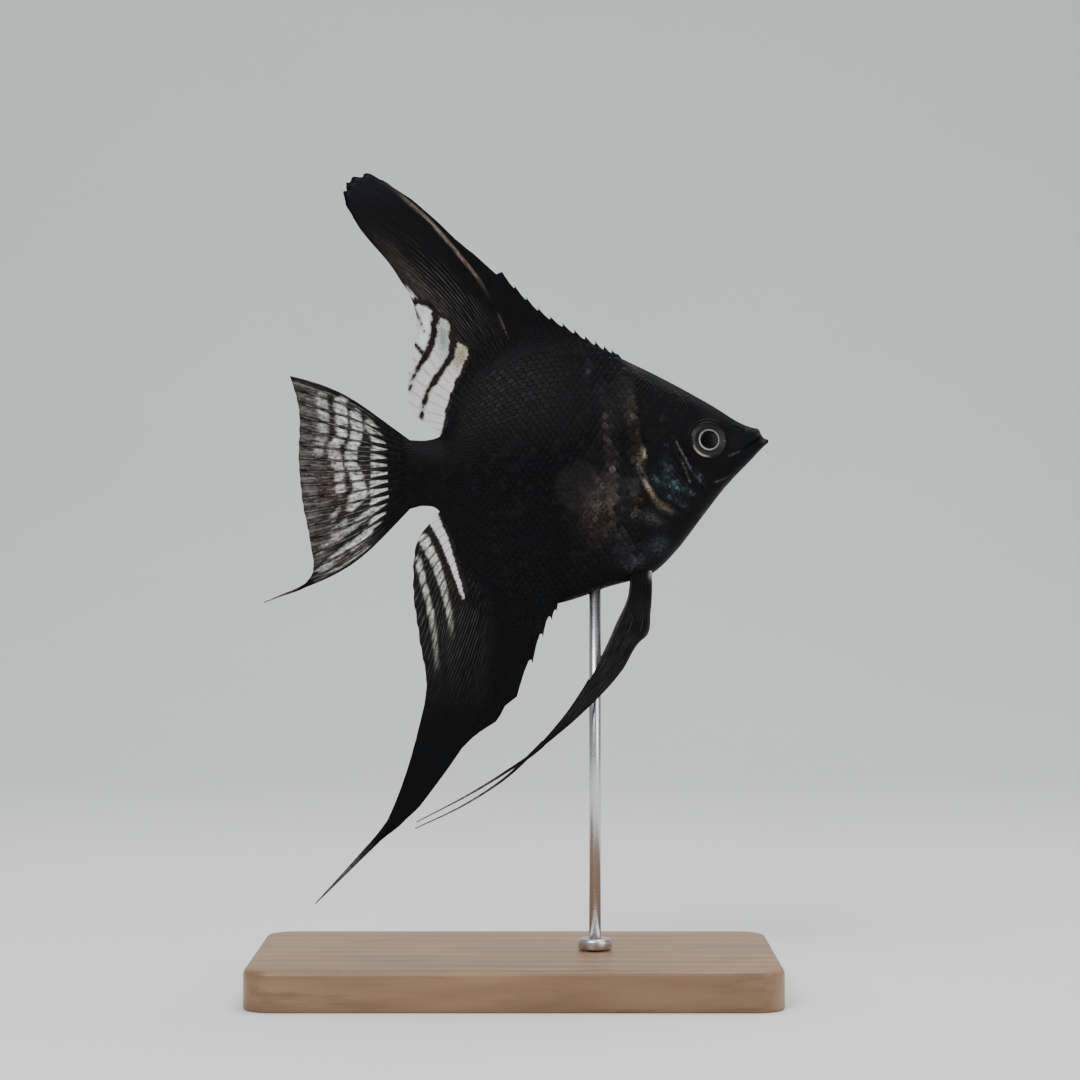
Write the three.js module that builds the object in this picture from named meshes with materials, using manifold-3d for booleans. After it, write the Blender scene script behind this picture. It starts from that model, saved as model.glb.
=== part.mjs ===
// A freshwater angelfish (Pterophyllum scalare, the all-black aquarium form) at life size, swimming
// level, held over a plain wooden base by one slim steel rod.
//
// Units are millimetres. The exported group stands on z = 0 with its origin under the middle of the
// whole model: +X is forwards, the way the fish swims, +Y is to its left and +Z is up. The fish is
// drawn in a frame of its own, whose origin is the middle of its body.
import * as THREE from "three";
import { mergeVertices } from "three/addons/utils/BufferGeometryUtils.js";
import Module from "manifold-3d";

const wasm = await Module();
wasm.setup();

// ---------------------------------------------------------------- driving dimensions
const FISH_AT = { x: 9, z: 103 }; // the middle of the body, seen from the model's origin
const GAP = 0.3; // between solids that touch
const FIN_HALF = 0.25; // half of a fin's thickness
const FIN_ROOT_HALF = 0.9; // half of it where the fin stands on the body
const FIN_THINNING = 2.2; // how far out a fin has lost most of the thickness of its root
const RIM_HALF = 0.35; // half of the body's thickness along its free rims
const LENS = { fullness: 2.2, freeRim: 0.55, finnedRim: 1.05 }; // how the flank rounds to its rims
const SNOUT_X = 41.7;
const STALK_END_X = -30;
const PAST = 60; // a distance that is clear of the whole body
const PAST_Y = 12; // and one that is clear of either flank
// How the middle plane swings to the left, past a distance from the middle: behind, above, below.
const SWING = {
  tail: { past: 12, over: 48, by: 3.4, power: 1.8 },
  top: { past: 26, over: 36, by: 1.5, power: 1.6 },
  bottom: { past: 28, over: 58, by: -2.2, power: 1.6 },
};
const MOUTH = { corner: [37, 5.3], line: [40.3, 7.7], end: [43, 8.6], rearUp: 36.6, rearDown: 35 };
const SAW = { behind: 0.25, dip: 0.3 }; // the web's step behind each spine: at its root, at its tip
const EYE = { x: 29.4, z: 6.8, radius: 3.7, halfDepth: 2.4, proud: 0.85 };
const COVER_INNER_Y = 3.6; // how far out the inner face of a gill cover lies
const PECTORAL = { x: 16.2, z: -2.4, outward: 13, tall: 3.6, rays: 7, angles: [17, -27] };
const PELVIC = { rootY: 1.2, tipY: 4.6 };
const ROD = { x: 7, radius: 1.2, intoBody: 7, intoBase: 6, collarRadius: 3.4, collarTall: 2.4 };
const BASE = { long: 104, deep: 60, thick: 8, corner: 6, bevel: 1.2 };

// ---------------------------------------------------------------- curves
const between = (low, high, t) => low + (high - low) * t;
const steps = (from, to, count) =>
  Array.from({ length: count + 1 }, (_, i) => between(from, to, i / count));
const ease = (from, to, at) => THREE.MathUtils.smoothstep(at, from, to);

// A smooth function through [at, value] pairs, given in rising order.
function smooth(pairs) {
  const last = pairs.length - 1;
  const rise = (i) => (pairs[i + 1][1] - pairs[i][1]) / (pairs[i + 1][0] - pairs[i][0]);
  const slope = pairs.map((pair, i) => {
    if (i === 0) return rise(0);
    if (i === last) return rise(last - 1);
    const before = pair[0] - pairs[i - 1][0];
    const after = pairs[i + 1][0] - pair[0];
    return (rise(i - 1) * after + rise(i) * before) / (before + after);
  });
  return (at) => {
    const x = THREE.MathUtils.clamp(at, pairs[0][0], pairs[last][0]);
    let i = 0;
    while (i < last - 1 && x > pairs[i + 1][0]) i++;
    const width = pairs[i + 1][0] - pairs[i][0];
    const t = (x - pairs[i][0]) / width;
    const s = 1 - t;
    const ends = pairs[i][1] * s * s * (1 + 2 * t) + pairs[i + 1][1] * t * t * (3 - 2 * t);
    return ends + width * t * s * (slope[i] * s - slope[i + 1] * t);
  };
}

// A smooth line through side-view points; its argument runs from 0 to 1 along its length.
function line(points) {
  const run = [0];
  for (let i = 1; i < points.length; i++) {
    const [from, to] = [points[i - 1], points[i]];
    run.push(run[i - 1] + Math.hypot(to[0] - from[0], to[1] - from[1]));
  }
  const total = run[run.length - 1];
  const forwards = smooth(points.map((point, i) => [run[i], point[0]]));
  const up = smooth(points.map((point, i) => [run[i], point[1]]));
  return (share) => [forwards(share * total), up(share * total)];
}

// A fin ray from root to tip: lean is its direction in degrees where it leaves the body and sweep
// the one where it ends, both turned from straight forwards towards straight up.
function ray(root, tip, lean, sweep) {
  const firm = 0.45 * Math.hypot(tip[0] - root[0], tip[1] - root[1]);
  const from = THREE.MathUtils.degToRad(lean);
  const into = THREE.MathUtils.degToRad(sweep);
  const curve = new THREE.CubicBezierCurve(
    new THREE.Vector2(...root),
    new THREE.Vector2(root[0] + firm * Math.cos(from), root[1] + firm * Math.sin(from)),
    new THREE.Vector2(tip[0] - firm * Math.cos(into), tip[1] - firm * Math.sin(into)),
    new THREE.Vector2(...tip),
  );
  return (t) => curve.getPoint(t).toArray();
}

// ---------------------------------------------------------------- the body's shape
// The outline of the disc-shaped body without its fins: heights over the distance forwards.
const back = smooth([
  [-30, 7], [-26.4, 7], [-23.8, 7.9], [-20, 14], [-16, 18.8], [-11, 22.6], [-5, 24.9],
  [1, 25.6], [6, 25.1], [11.2, 23.7], [15, 22], [23, 18], [30.2, 14], [37.2, 9.9],
  [38.7, 9.4], [39.8, 9], [40.4, 7.8], [SNOUT_X, 7],
]);
const belly = smooth([
  [-30, -6.8], [-27.2, -6.2], [-24, -7.4], [-21.6, -12], [-18.4, -17], [-14, -22], [-9, -25],
  [-4, -26.1], [0, -25.6], [4.8, -24.2], [9.6, -22.4], [14, -21.2], [18.6, -19.6], [23.4, -15],
  [28, -9], [32.6, -3], [38.6, 3.4], [41, 5.9], [SNOUT_X, 6.5],
]);
// Half of the body's thickness halfway up, over the distance forwards.
const girth = smooth([
  [-30, 1.4], [-26, 2.1], [-20, 3.4], [-10, 5.2], [0, 6.4], [10, 6.7], [20, 6.4], [29, 5.2],
  [35, 3.7], [39, 2.3], [SNOUT_X, 1],
]);
// The stretches of the outline that carry the tall fins, from front to rear.
const DORSAL_BASE = { front: 12.4, rear: -23.8 };
const ANAL_BASE = { front: -0.4, rear: -24 };

// 1 where an outline carries a fin, falling to 0 where it is free.
function finned(x, base) {
  return ease(base.rear - 3, base.rear, x) * (1 - ease(base.front - 1, base.front + 4, x));
}
// Half of the thickness at a place in the side view: a lens, rounder where its rim is free.
function bodyHalf(x, z) {
  const middle = (back(x) + belly(x)) / 2;
  const share = Math.min(Math.abs(z - middle) / ((back(x) - belly(x)) / 2), 1);
  const carries = finned(x, z > middle ? DORSAL_BASE : ANAL_BASE);
  const rim = between(RIM_HALF, FIN_ROOT_HALF, carries);
  const roundness = between(LENS.freeRim, LENS.finnedRim, carries);
  return rim + Math.max(girth(x) - rim, 0) * (1 - share ** LENS.fullness) ** roundness;
}
// How far the middle plane sways to the left: the tail is swung out and the tall fins lean a little.
function sway(x, z) {
  const swung = ({ past, over, by, power }, away) => by * (Math.max(away - past, 0) / over) ** power;
  return swung(SWING.tail, -x) + swung(SWING.top, z) + swung(SWING.bottom, -z);
}

// ---------------------------------------------------------------- solids
// Closes positions and triangles into one solid, facing outwards.
function solid(positions, triangles) {
  const bare = new THREE.BufferGeometry();
  bare.setAttribute("position", new THREE.Float32BufferAttribute(positions, 3));
  bare.setIndex(triangles);
  const merged = mergeVertices(bare, 1e-4);
  const corners = Array.from(merged.index.array);
  const made = (order) => {
    const kept = [];
    for (let i = 0; i < corners.length; i += 3) {
      const [a, b, c] = order.map((k) => corners[i + k]);
      if (a !== b && b !== c && a !== c) kept.push(a, b, c);
    }
    const vertProperties = merged.attributes.position.array;
    const triVerts = new Uint32Array(kept);
    return new wasm.Manifold(new wasm.Mesh({ numProp: 3, vertProperties, triVerts }));
  };
  const first = made([0, 1, 2]);
  return first.volume() > 0 ? first : made([0, 2, 1]);
}
function solidFrom(geometry) {
  const count = geometry.attributes.position.count;
  const index = geometry.index ? geometry.index.array : Array.from({ length: count }, (_, i) => i);
  return solid(Array.from(geometry.attributes.position.array), Array.from(index));
}

// A solid over a grid of places: each has a middle (x, y, z) and a half thickness along Y.
function plate(grid) {
  const columns = grid[0].length;
  const places = grid.flat();
  const face = (side) => places.flatMap((p) => [p.x, p.y + side * p.half, p.z]);
  const triangles = [];
  const quad = (a, b, c, d) => triangles.push(a, b, c, a, c, d);
  const at = (row, column) => row * columns + column;
  const other = places.length;
  for (let i = 0; i + 1 < grid.length; i++) {
    for (let j = 0; j + 1 < columns; j++) {
      const ring = [at(i, j), at(i, j + 1), at(i + 1, j + 1), at(i + 1, j)];
      quad(...ring);
      quad(...ring.reverse().map((corner) => corner + other));
    }
  }
  const rim = [];
  for (let j = 0; j + 1 < columns; j++) rim.push(at(0, j));
  for (let i = 0; i + 1 < grid.length; i++) rim.push(at(i, columns - 1));
  for (let j = columns - 1; j > 0; j--) rim.push(at(grid.length - 1, j));
  for (let i = grid.length - 1; i > 0; i--) rim.push(at(i, 0));
  rim.forEach((here, i) => {
    const next = rim[(i + 1) % rim.length];
    quad(next, here, here + other, next + other);
  });
  return solid([...face(-1), ...face(1)], triangles);
}

// A straight-sided block across the fish, over a closed outline in the side view.
function block(outline, fromY = -PAST_Y, toY = PAST_Y) {
  const shape = new THREE.Shape(outline.map(([x, z]) => new THREE.Vector2(x, z)));
  const geometry = new THREE.ExtrudeGeometry(shape, { depth: toY - fromY, bevelEnabled: false });
  geometry.rotateX(Math.PI / 2).translate(0, toY, 0);
  return solidFrom(geometry);
}
// Everything between two lines that are given as distances forwards over height.
function slice(rearLine, frontLine) {
  const heights = steps(-30, 30, 24);
  const rear = heights.map((z) => [rearLine(z) + GAP / 2, z]);
  const front = heights.map((z) => [frontLine(z) - GAP / 2, z]);
  return block([...rear, ...front.reverse()]);
}
// A closed smooth loop, clockwise through points in the side view, grown outwards by a margin.
function loop(points, margin) {
  const curve = new THREE.CatmullRomCurve3(
    points.map(([x, z]) => new THREE.Vector3(x, z, 0)),
    true,
  );
  return steps(0, 1, 22).slice(1).map((share) => {
    const at = curve.getPoint(share);
    const along = curve.getTangent(share);
    return [at.x - along.y * margin, at.y + along.x * margin];
  });
}
// A rod standing on end, from one height to another.
function pin(x, radius, fromZ, toZ) {
  const profile = [[0, fromZ], [radius, fromZ], [radius, toZ], [0, toZ]];
  const geometry = new THREE.LatheGeometry(profile.map(([r, z]) => new THREE.Vector2(r, z)), 16);
  return solidFrom(geometry.rotateX(Math.PI / 2).translate(x, 0, 0));
}

// ---------------------------------------------------------------- head and body
// The whole body in one piece, grown outwards on all sides by a margin.
function bodySolid(margin) {
  const stations = [
    ...steps(STALK_END_X, -14, 12), ...steps(-11, 33, 18), ...steps(35, 40, 3), 40.5, SNOUT_X,
  ];
  const shares = steps(-90, 90, 14).map((angle) => Math.sin(THREE.MathUtils.degToRad(angle)));
  return plate(stations.map((x) => shares.map((share) => {
    const middle = (back(x) + belly(x)) / 2;
    const z = middle + share * ((back(x) - belly(x)) / 2);
    return { x, y: 0, z: z + share * margin, half: bodyHalf(x, z) + margin };
  })));
}
const body = bodySolid(0);
const bodyClearance = bodySolid(GAP);

const gillLine = smooth([
  [-30, 44], [-9.6, 30.6], [-7.6, 25.6], [-5.6, 21.2], [-2.6, 18], [2, 16.6], [6, 16.8],
  [14, 15.6], [30, 12],
]);
const stalkLine = smooth([[-30, -25], [0, -22.6], [30, -25]]);
// The jaws lie above and below the line of the mouth, each back to a line of its own.
const JAWS_TOP = 12;
const JAWS_FOOT = -2;
const mouthShifted = (rise) => [MOUTH.corner, MOUTH.line, MOUTH.end].map(([x, z]) => [x, z + rise]);
const upperJawBlock = (margin) => block([
  ...mouthShifted(GAP / 2 - margin), [MOUTH.end[0], JAWS_TOP], [MOUTH.rearUp - margin, JAWS_TOP],
]);
const lowerJawBlock = (margin) => block([
  ...mouthShifted(margin - GAP / 2).reverse(),
  [MOUTH.rearDown - margin, JAWS_FOOT], [MOUTH.end[0], JAWS_FOOT],
]);
const COVER_LOOP = [
  [14.6, 8], [18.6, 10.2], [22.4, 8], [23.6, 3.6], [26.6, 0], [30, -2], [30.4, -5.4], [26, -9],
  [19, -7], [14.6, -1],
];
function coverBlock(side, margin) {
  const [near, far] = [COVER_INNER_Y - margin, PAST_Y].map((y) => y * side);
  return block(loop(COVER_LOOP, margin), Math.min(near, far), Math.max(near, far));
}
function eyeSolid(side, margin) {
  const middle = bodyHalf(EYE.x, EYE.z) + EYE.proud - EYE.halfDepth;
  const ball = new THREE.SphereGeometry(1, 18, 10);
  ball.scale(EYE.radius + margin, EYE.radius + margin, EYE.halfDepth + margin);
  ball.rotateX(Math.PI / 2).translate(EYE.x, side * middle, EYE.z);
  return solidFrom(ball);
}

const wholeHead = body.intersect(slice(gillLine, () => PAST));
const head = wholeHead
  .subtract(upperJawBlock(GAP))
  .subtract(lowerJawBlock(GAP))
  .subtract(coverBlock(1, GAP))
  .subtract(coverBlock(-1, GAP))
  .subtract(eyeSolid(1, GAP))
  .subtract(eyeSolid(-1, GAP));

const rodTop = belly(ROD.x) + ROD.intoBody;
const rodSpace = pin(ROD.x, ROD.radius + GAP, -FISH_AT.z, rodTop + GAP);
const trunk = body.intersect(slice(stalkLine, gillLine)).subtract(rodSpace);
const stalk = body.intersect(slice(() => -PAST, stalkLine));

// ---------------------------------------------------------------- the tall fins
// A tall fin stands on the body's outline. Its spines are stiff and end on a stepped front edge;
// its soft rays end along the free edge, which starts at the fin's tip.
const dorsal = {
  rim: back,
  side: 1,
  spines: {
    count: 12, roots: [DORSAL_BASE.front, -4.6], crowding: 1.37, cut: 0.93,
    tips: line([[11.2, 24.7], [2, 29.7], [-4.4, 33.6], [-8.2, 37.2], [-11.6, 40.8]]),
  },
  soft: {
    roots: [-5.8, DORSAL_BASE.rear],
    lean: smooth([[0, 113], [0.5, 126], [0.85, 150], [1, 165]]),
    sweep: smooth([[0, 118], [0.06, 130], [0.12, 138], [0.3, 143], [0.7, 130], [1, 150]]),
    reach: smooth([
      [0, 0], [0.12, 0.25], [0.19, 0.35], [0.3, 0.42], [0.6, 0.67], [0.85, 0.89], [1, 1],
    ]),
    edge: line([
      [-12.6, 41.6], [-17.8, 45.7], [-25.4, 52.3], [-33.8, 58.4], [-39.8, 61], [-42.7, 59.7],
      [-43.8, 56.6], [-41.6, 51.6], [-33, 40.6], [-29.2, 33.2], [-29.4, 25.4], [-30.8, 18],
      [-29.4, 12], [-25.2, 9.3],
    ]),
  },
};
const anal = {
  rim: belly,
  side: -1,
  spines: {
    count: 5, roots: [ANAL_BASE.front, -6.4], crowding: 1.75, cut: 0.9,
    tips: line([[-0.8, -27.8], [-2.9, -31.4], [-5.4, -37.6], [-8.6, -44.4]]),
  },
  soft: {
    roots: [-7.6, ANAL_BASE.rear],
    lean: smooth([[0, -96], [0.5, -112], [0.85, -140], [1, -160]]),
    sweep: smooth([
      [0, -100], [0.06, -118], [0.12, -128], [0.25, -136], [0.42, -118], [0.7, -112], [1, -140],
    ]),
    reach: smooth([
      [0, 0], [0.08, 0.18], [0.16, 0.32], [0.24, 0.38], [0.38, 0.46], [0.62, 0.66], [0.85, 0.87],
      [1, 1],
    ]),
    edge: line([
      [-11, -46.4], [-12.8, -49.6], [-16.6, -52], [-20.8, -56.2], [-28.8, -67.2], [-33.4, -71.4],
      [-37, -74], [-34.6, -69], [-28.6, -51.4], [-26.9, -42.6], [-28.3, -33], [-29.6, -22],
      [-28.4, -12.6], [-25.4, -8.8],
    ]),
  },
};

// A place on a fin, thicker near its root.
function finPlace([x, z], height, rootHalf) {
  return { x, y: 0, z, half: between(FIN_HALF, rootHalf, Math.exp(-height / FIN_THINNING)) };
}
function rayPlaces(course, rows) {
  const root = course(0);
  return steps(0, 1, rows).map((share) => {
    const at = course(share);
    return finPlace(at, Math.hypot(at[0] - root[0], at[1] - root[1]), FIN_ROOT_HALF);
  });
}
const rootOf = (fin, x) => [x, fin.rim(x) + fin.side * GAP];
function softRay(fin, share, shift = 0) {
  const { roots, lean, sweep, reach, edge } = fin.soft;
  const root = rootOf(fin, between(roots[0], roots[1], share) + shift);
  const tip = edge(reach(share));
  return ray(root, [tip[0] + shift, tip[1]], lean(share), sweep(share));
}
function spineFin(fin) {
  const { count, roots, tips, crowding, cut } = fin.spines;
  const columns = [];
  for (let i = 0; i < count; i++) {
    const share = i / (count - 1);
    const tip = tips(share ** crowding);
    const root = rootOf(fin, between(roots[0], roots[1], share));
    const straight = THREE.MathUtils.radToDeg(Math.atan2(tip[1] - root[1], tip[0] - root[0]));
    const course = ray(root, tip, straight, straight);
    columns.push(rayPlaces(course, 4));
    if (i + 1 === count) continue;
    const webTip = course(cut);
    const web = ray(rootOf(fin, root[0] - SAW.behind), [webTip[0] - SAW.dip, webTip[1]], straight, straight);
    columns.push(rayPlaces(web, 4));
  }
  columns.push(rayPlaces(softRay(fin, 0, GAP), 4));
  return plate(columns);
}
function softFin(fin) {
  return plate(steps(0, 1, 18).map((share) => rayPlaces(softRay(fin, share), 9)));
}

// A tapering thread that a fin's longest ray is drawn out into.
function filament(points, fromWide, toWide, fromY = 0, toY = 0) {
  const course = line(points);
  return plate(steps(0, 1, 8).map((share) => {
    const [x, z] = course(share);
    const next = course(Math.min(share + 0.02, 1));
    const before = course(Math.max(share - 0.02, 0));
    const along = new THREE.Vector2(next[0] - before[0], next[1] - before[1]).normalize();
    const wide = between(fromWide, toWide, share) / 2;
    const y = between(fromY, toY, share);
    return [-wide, wide].map((off) => (
      { x: x - along.y * off, y, z: z + along.x * off, half: FIN_HALF }
    ));
  }));
}
const analThread = filament(
  [[-35.6, -71.6], [-38.4, -74.4], [-43.4, -79.6], [-49, -85.8]], 1.6, 0.5,
);

// ---------------------------------------------------------------- tail fin
const tailRoots = line([[STALK_END_X - GAP, 7], [STALK_END_X - GAP, -6.8]]);
const tailEdge = line([
  [-54.4, 20], [-52.8, 14.4], [-52.6, 2], [-51.8, -5.8], [-50.4, -13], [-50, -20], [-52.4, -23],
]);
function tailFin() {
  const columns = steps(0, 1, 18).map((share) => {
    const [root, tip] = [tailRoots(share), tailEdge(share)];
    const [lean, sweep] = [between(144, 224, share), between(157, 209, share)];
    return steps(0, 1, 6).map((along) => {
      const at = ray(root, tip, lean, sweep)(along);
      const rootHalf = bodyHalf(STALK_END_X, root[1]);
      return finPlace(at, root[0] - at[0], rootHalf);
    });
  });
  const thread = filament([[-51, -22.4], [-55, -23.8], [-59.6, -25.6]], 1.2, 0.5);
  return plate(columns).add(thread);
}

// ---------------------------------------------------------------- paired fins
// A pelvic fin: a stiff front edge and a short rear one that run out together into a long thread.
const pelvicFront = line([
  [18.4, -17], [18, -27.4], [16.8, -33], [12.4, -39.2], [3.4, -48.4], [-4.6, -55],
]);
const pelvicRear = line([
  [14.2, -18], [13.6, -24.4], [10.2, -33], [6.4, -39.6], [1.4, -46.6], [-5.2, -55.4],
]);
const pelvicThread = {
  right: [[-3.6, -54.2], [-9.8, -58.4], [-16, -62.2], [-28.4, -68.8]],
  left: [[-3.6, -54.4], [-9.8, -60.2], [-19, -66.2], [-29.2, -71.2]],
};
function pelvicFin(side, threadPoints) {
  const { rootY, tipY } = PELVIC;
  const blade = plate(steps(0, 1, 12).map((along) => steps(0, 1, 4).map((across) => {
    const [front, rear] = [pelvicFront(along), pelvicRear(along)];
    const y = side * (between(rootY, tipY, along) + 0.5 * across * (1 - along));
    const [x, z] = [0, 1].map((axis) => between(front[axis], rear[axis], across));
    return { x, y, z, half: between(0.5, FIN_HALF, Math.min(2 * along, 1)) };
  })));
  const thread = filament(threadPoints, 1.1, 0.5, side * tipY, side * (tipY + 1.2));
  return blade.add(thread).subtract(bodyClearance);
}

// A pectoral fin: a rounded fan behind the gill cover, folded back along the flank.
function pectoralFin(side) {
  const { x, z, outward, tall, rays, angles } = PECTORAL;
  const out = THREE.MathUtils.degToRad(outward);
  const length = smooth([[0, 13], [0.35, 17.4], [0.7, 15.4], [1, 10.5]]);
  const columns = steps(0, 1, rays).map((share) => {
    const angle = THREE.MathUtils.degToRad(between(angles[0], angles[1], share));
    return steps(0, 1, 4).map((along) => {
      const reach = along * length(share);
      return {
        x: x - reach * Math.cos(angle) * Math.cos(out),
        y: side * (bodyHalf(x, z) + FIN_HALF + reach * Math.sin(out)),
        z: z + between(tall / 2, -tall / 2, share) + reach * Math.sin(angle),
        half: FIN_HALF,
      };
    });
  });
  return plate(columns).subtract(bodyClearance);
}

// ---------------------------------------------------------------- stand
function baseSolid() {
  const { long, deep, thick, corner, bevel } = BASE;
  const [wide, high] = [long / 2 - bevel, deep / 2 - bevel];
  const shape = new THREE.Shape();
  shape.absarc(wide - corner, high - corner, corner, 0, Math.PI / 2);
  shape.absarc(corner - wide, high - corner, corner, Math.PI / 2, Math.PI);
  shape.absarc(corner - wide, corner - high, corner, Math.PI, 1.5 * Math.PI);
  shape.absarc(wide - corner, corner - high, corner, 1.5 * Math.PI, 2 * Math.PI);
  const geometry = new THREE.ExtrudeGeometry(shape, {
    depth: thick - 2 * bevel, bevelEnabled: true, bevelThickness: bevel, bevelSize: bevel,
    bevelSegments: 2, curveSegments: 3,
  });
  return solidFrom(geometry.translate(0, 0, bevel));
}
const rodX = FISH_AT.x + ROD.x;
const rodFoot = BASE.thick - ROD.intoBase;
const rod = pin(rodX, ROD.radius, rodFoot, FISH_AT.z + rodTop);
const collar = pin(rodX, ROD.collarRadius, BASE.thick + GAP, BASE.thick + ROD.collarTall)
  .subtract(pin(rodX, ROD.radius + GAP, 0, BASE.thick + 2 * ROD.collarTall));
const base = baseSolid().subtract(pin(rodX, ROD.radius + GAP, rodFoot - GAP, 2 * BASE.thick));

// ---------------------------------------------------------------- the scene graph
const skin = { color: 0x101113, roughness: 0.45, metalness: 0 };
const finSkin = { color: 0x15171a, roughness: 0.55, metalness: 0 };
const clearFin = { color: 0x8c8a80, roughness: 0.35, metalness: 0 };
const eyeBall = { color: 0x24272b, roughness: 0.1, metalness: 0 };
const wood = { color: 0x8a6a48, roughness: 0.5, metalness: 0 };
const steel = { color: 0xb9bbbd, roughness: 0.3, metalness: 1 };

function meshOf(name, made, look, shape = (x, y, z) => [x, y, z]) {
  const { vertProperties, triVerts } = made.getMesh();
  const positions = [];
  for (let i = 0; i < vertProperties.length; i += 3) {
    positions.push(...shape(...vertProperties.slice(i, i + 3)));
  }
  const geometry = new THREE.BufferGeometry();
  geometry.setAttribute("position", new THREE.Float32BufferAttribute(positions, 3));
  geometry.setIndex(Array.from(triVerts));
  geometry.computeVertexNormals();
  const mesh = new THREE.Mesh(geometry, new THREE.MeshStandardMaterial(look));
  mesh.name = name;
  return mesh;
}
const swayed = (x, y, z) => [x, y + sway(x, z), z];
const fish = new THREE.Group();
fish.position.set(FISH_AT.x, 0, FISH_AT.z);
const addFlesh = (name, made, look = skin) => fish.add(meshOf(name, made, look, swayed));

addFlesh("head", head);
addFlesh("upper_jaw", wholeHead.intersect(upperJawBlock(0)));
addFlesh("lower_jaw", wholeHead.intersect(lowerJawBlock(0)));
addFlesh("trunk", trunk);
addFlesh("tail_stalk", stalk);
addFlesh("dorsal_fin_spines", spineFin(dorsal), finSkin);
addFlesh("dorsal_fin_rays", softFin(dorsal), finSkin);
addFlesh("anal_fin_spines", spineFin(anal), finSkin);
addFlesh("anal_fin_rays", softFin(anal).add(analThread), finSkin);
addFlesh("tail_fin", tailFin(), finSkin);
for (const [name, side] of [["right", -1], ["left", 1]]) {
  const cover = wholeHead.intersect(coverBlock(side, 0)).subtract(eyeSolid(side, GAP));
  addFlesh(`gill_cover_${name}`, cover);
  addFlesh(`eye_${name}`, eyeSolid(side, 0), eyeBall);
  addFlesh(`pectoral_fin_${name}`, pectoralFin(side), clearFin);
  addFlesh(`pelvic_fin_${name}`, pelvicFin(side, pelvicThread[name]), finSkin);
}

const stand = new THREE.Group();
stand.add(meshOf("stand_base", base, wood));
stand.add(meshOf("stand_rod", rod, steel));
stand.add(meshOf("stand_collar", collar, steel));

const model = new THREE.Group();
model.add(fish);
model.add(stand);
export default model;
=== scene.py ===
"""A black freshwater angelfish on a plain display stand: the looks.

Inside the fish, lengths are millimetres in the fish's own frame: the middle of the body is the origin,
+X is forwards and +Z is up. What is handed to Blender is metres in the model's frame.
"""
import math

import bpy
import numpy as np
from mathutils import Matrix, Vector


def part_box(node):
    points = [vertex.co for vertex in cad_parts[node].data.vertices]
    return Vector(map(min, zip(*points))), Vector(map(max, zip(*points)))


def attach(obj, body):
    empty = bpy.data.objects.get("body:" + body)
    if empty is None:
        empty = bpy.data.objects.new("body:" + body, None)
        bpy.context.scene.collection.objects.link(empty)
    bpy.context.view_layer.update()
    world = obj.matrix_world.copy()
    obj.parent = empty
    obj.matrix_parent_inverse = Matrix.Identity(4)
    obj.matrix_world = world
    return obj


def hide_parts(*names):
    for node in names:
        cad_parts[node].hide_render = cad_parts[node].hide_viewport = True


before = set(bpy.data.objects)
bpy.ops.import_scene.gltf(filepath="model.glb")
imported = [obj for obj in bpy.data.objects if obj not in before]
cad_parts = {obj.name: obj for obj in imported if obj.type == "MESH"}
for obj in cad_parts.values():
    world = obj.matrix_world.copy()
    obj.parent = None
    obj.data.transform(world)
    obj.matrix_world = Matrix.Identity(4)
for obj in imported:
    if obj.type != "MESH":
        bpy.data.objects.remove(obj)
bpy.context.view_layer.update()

# ------------------------------------------------------------------ sizes
MM = 0.001
FISH_AT = (9.0, 103.0)  # the middle of the body, forwards and up from the model's origin
SNOUT_X = 41.7
STALK_END_X = -30.0
COAT = 0.1  # how far the skin lies inside the solids, to leave room for the scales
EYE_AT, EYE_RADIUS = (29.4, 6.8), 3.7
EYE_PROUD = 0.8  # how far the middle of the eye stands out of the head
PUPIL_RADIUS, RING_RADIUS = 1.76, 2.18
ORBIT_INNER, ORBIT_CREST, ORBIT_OUTER = 3.2, 4.0, 4.9  # radii of the soft rim round the eye
DORSAL_BASE = (12.4, -23.8)  # the front and rear ends of the tall fins' bases
ANAL_BASE = (-0.4, -24.0)
ROOT_HALF = 0.8  # half of a tall fin's thickness where it stands on the body
WEB_HALF, RAY_HALF = 0.07, 0.2  # and of its web and its rays, further out
BODY_ROWS = 80  # from the belly to the back; five to each ray of the tail fin
SOFT_RAYS, RAY_COLUMNS = 26, 5  # soft rays of a tall fin, and grid columns to each
TAIL_RAYS = BODY_ROWS // RAY_COLUMNS
PELVIC_RAYS, PECTORAL_RAYS = 6, 12
FIN_ROWS, TAIL_ROWS = 52, 44  # grid rows from the root of a fin to its edge
LIPS_X = 39.3  # in front of here the grid's columns crowd together
LIP_COLUMNS, HEAD_COLUMNS, STALK_COLUMNS = 22, 80, 14
EYE_STEPS = 72  # round the eye
NEAR_RIM = (1.0, 0.86)  # the folds of the head fade out between these shares of its height
SNOUT_ROUND = (40.2, 1.5)  # where the snout starts to round off, and over what length
LENS_POWER, LENS_ROUND = 2.2, (0.52, 1.25)  # the body's section: rounder where its rim is thin
rng = np.random.default_rng(7)


# ------------------------------------------------------------------ curves
def between(low, high, t):
    """From low at t = 0 to high at t = 1."""
    return low + (high - low) * t


def ease(start, end, at):
    """0 at the start and before it, 1 at the end and past it, smooth between."""
    t = np.clip((at - start) / (end - start), 0, 1)
    return t * t * (3 - 2 * t)


def bump(at, centre, width):
    """1 at the centre, falling to 0 on both sides."""
    return np.exp(-(((at - centre) / width) ** 2))


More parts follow.
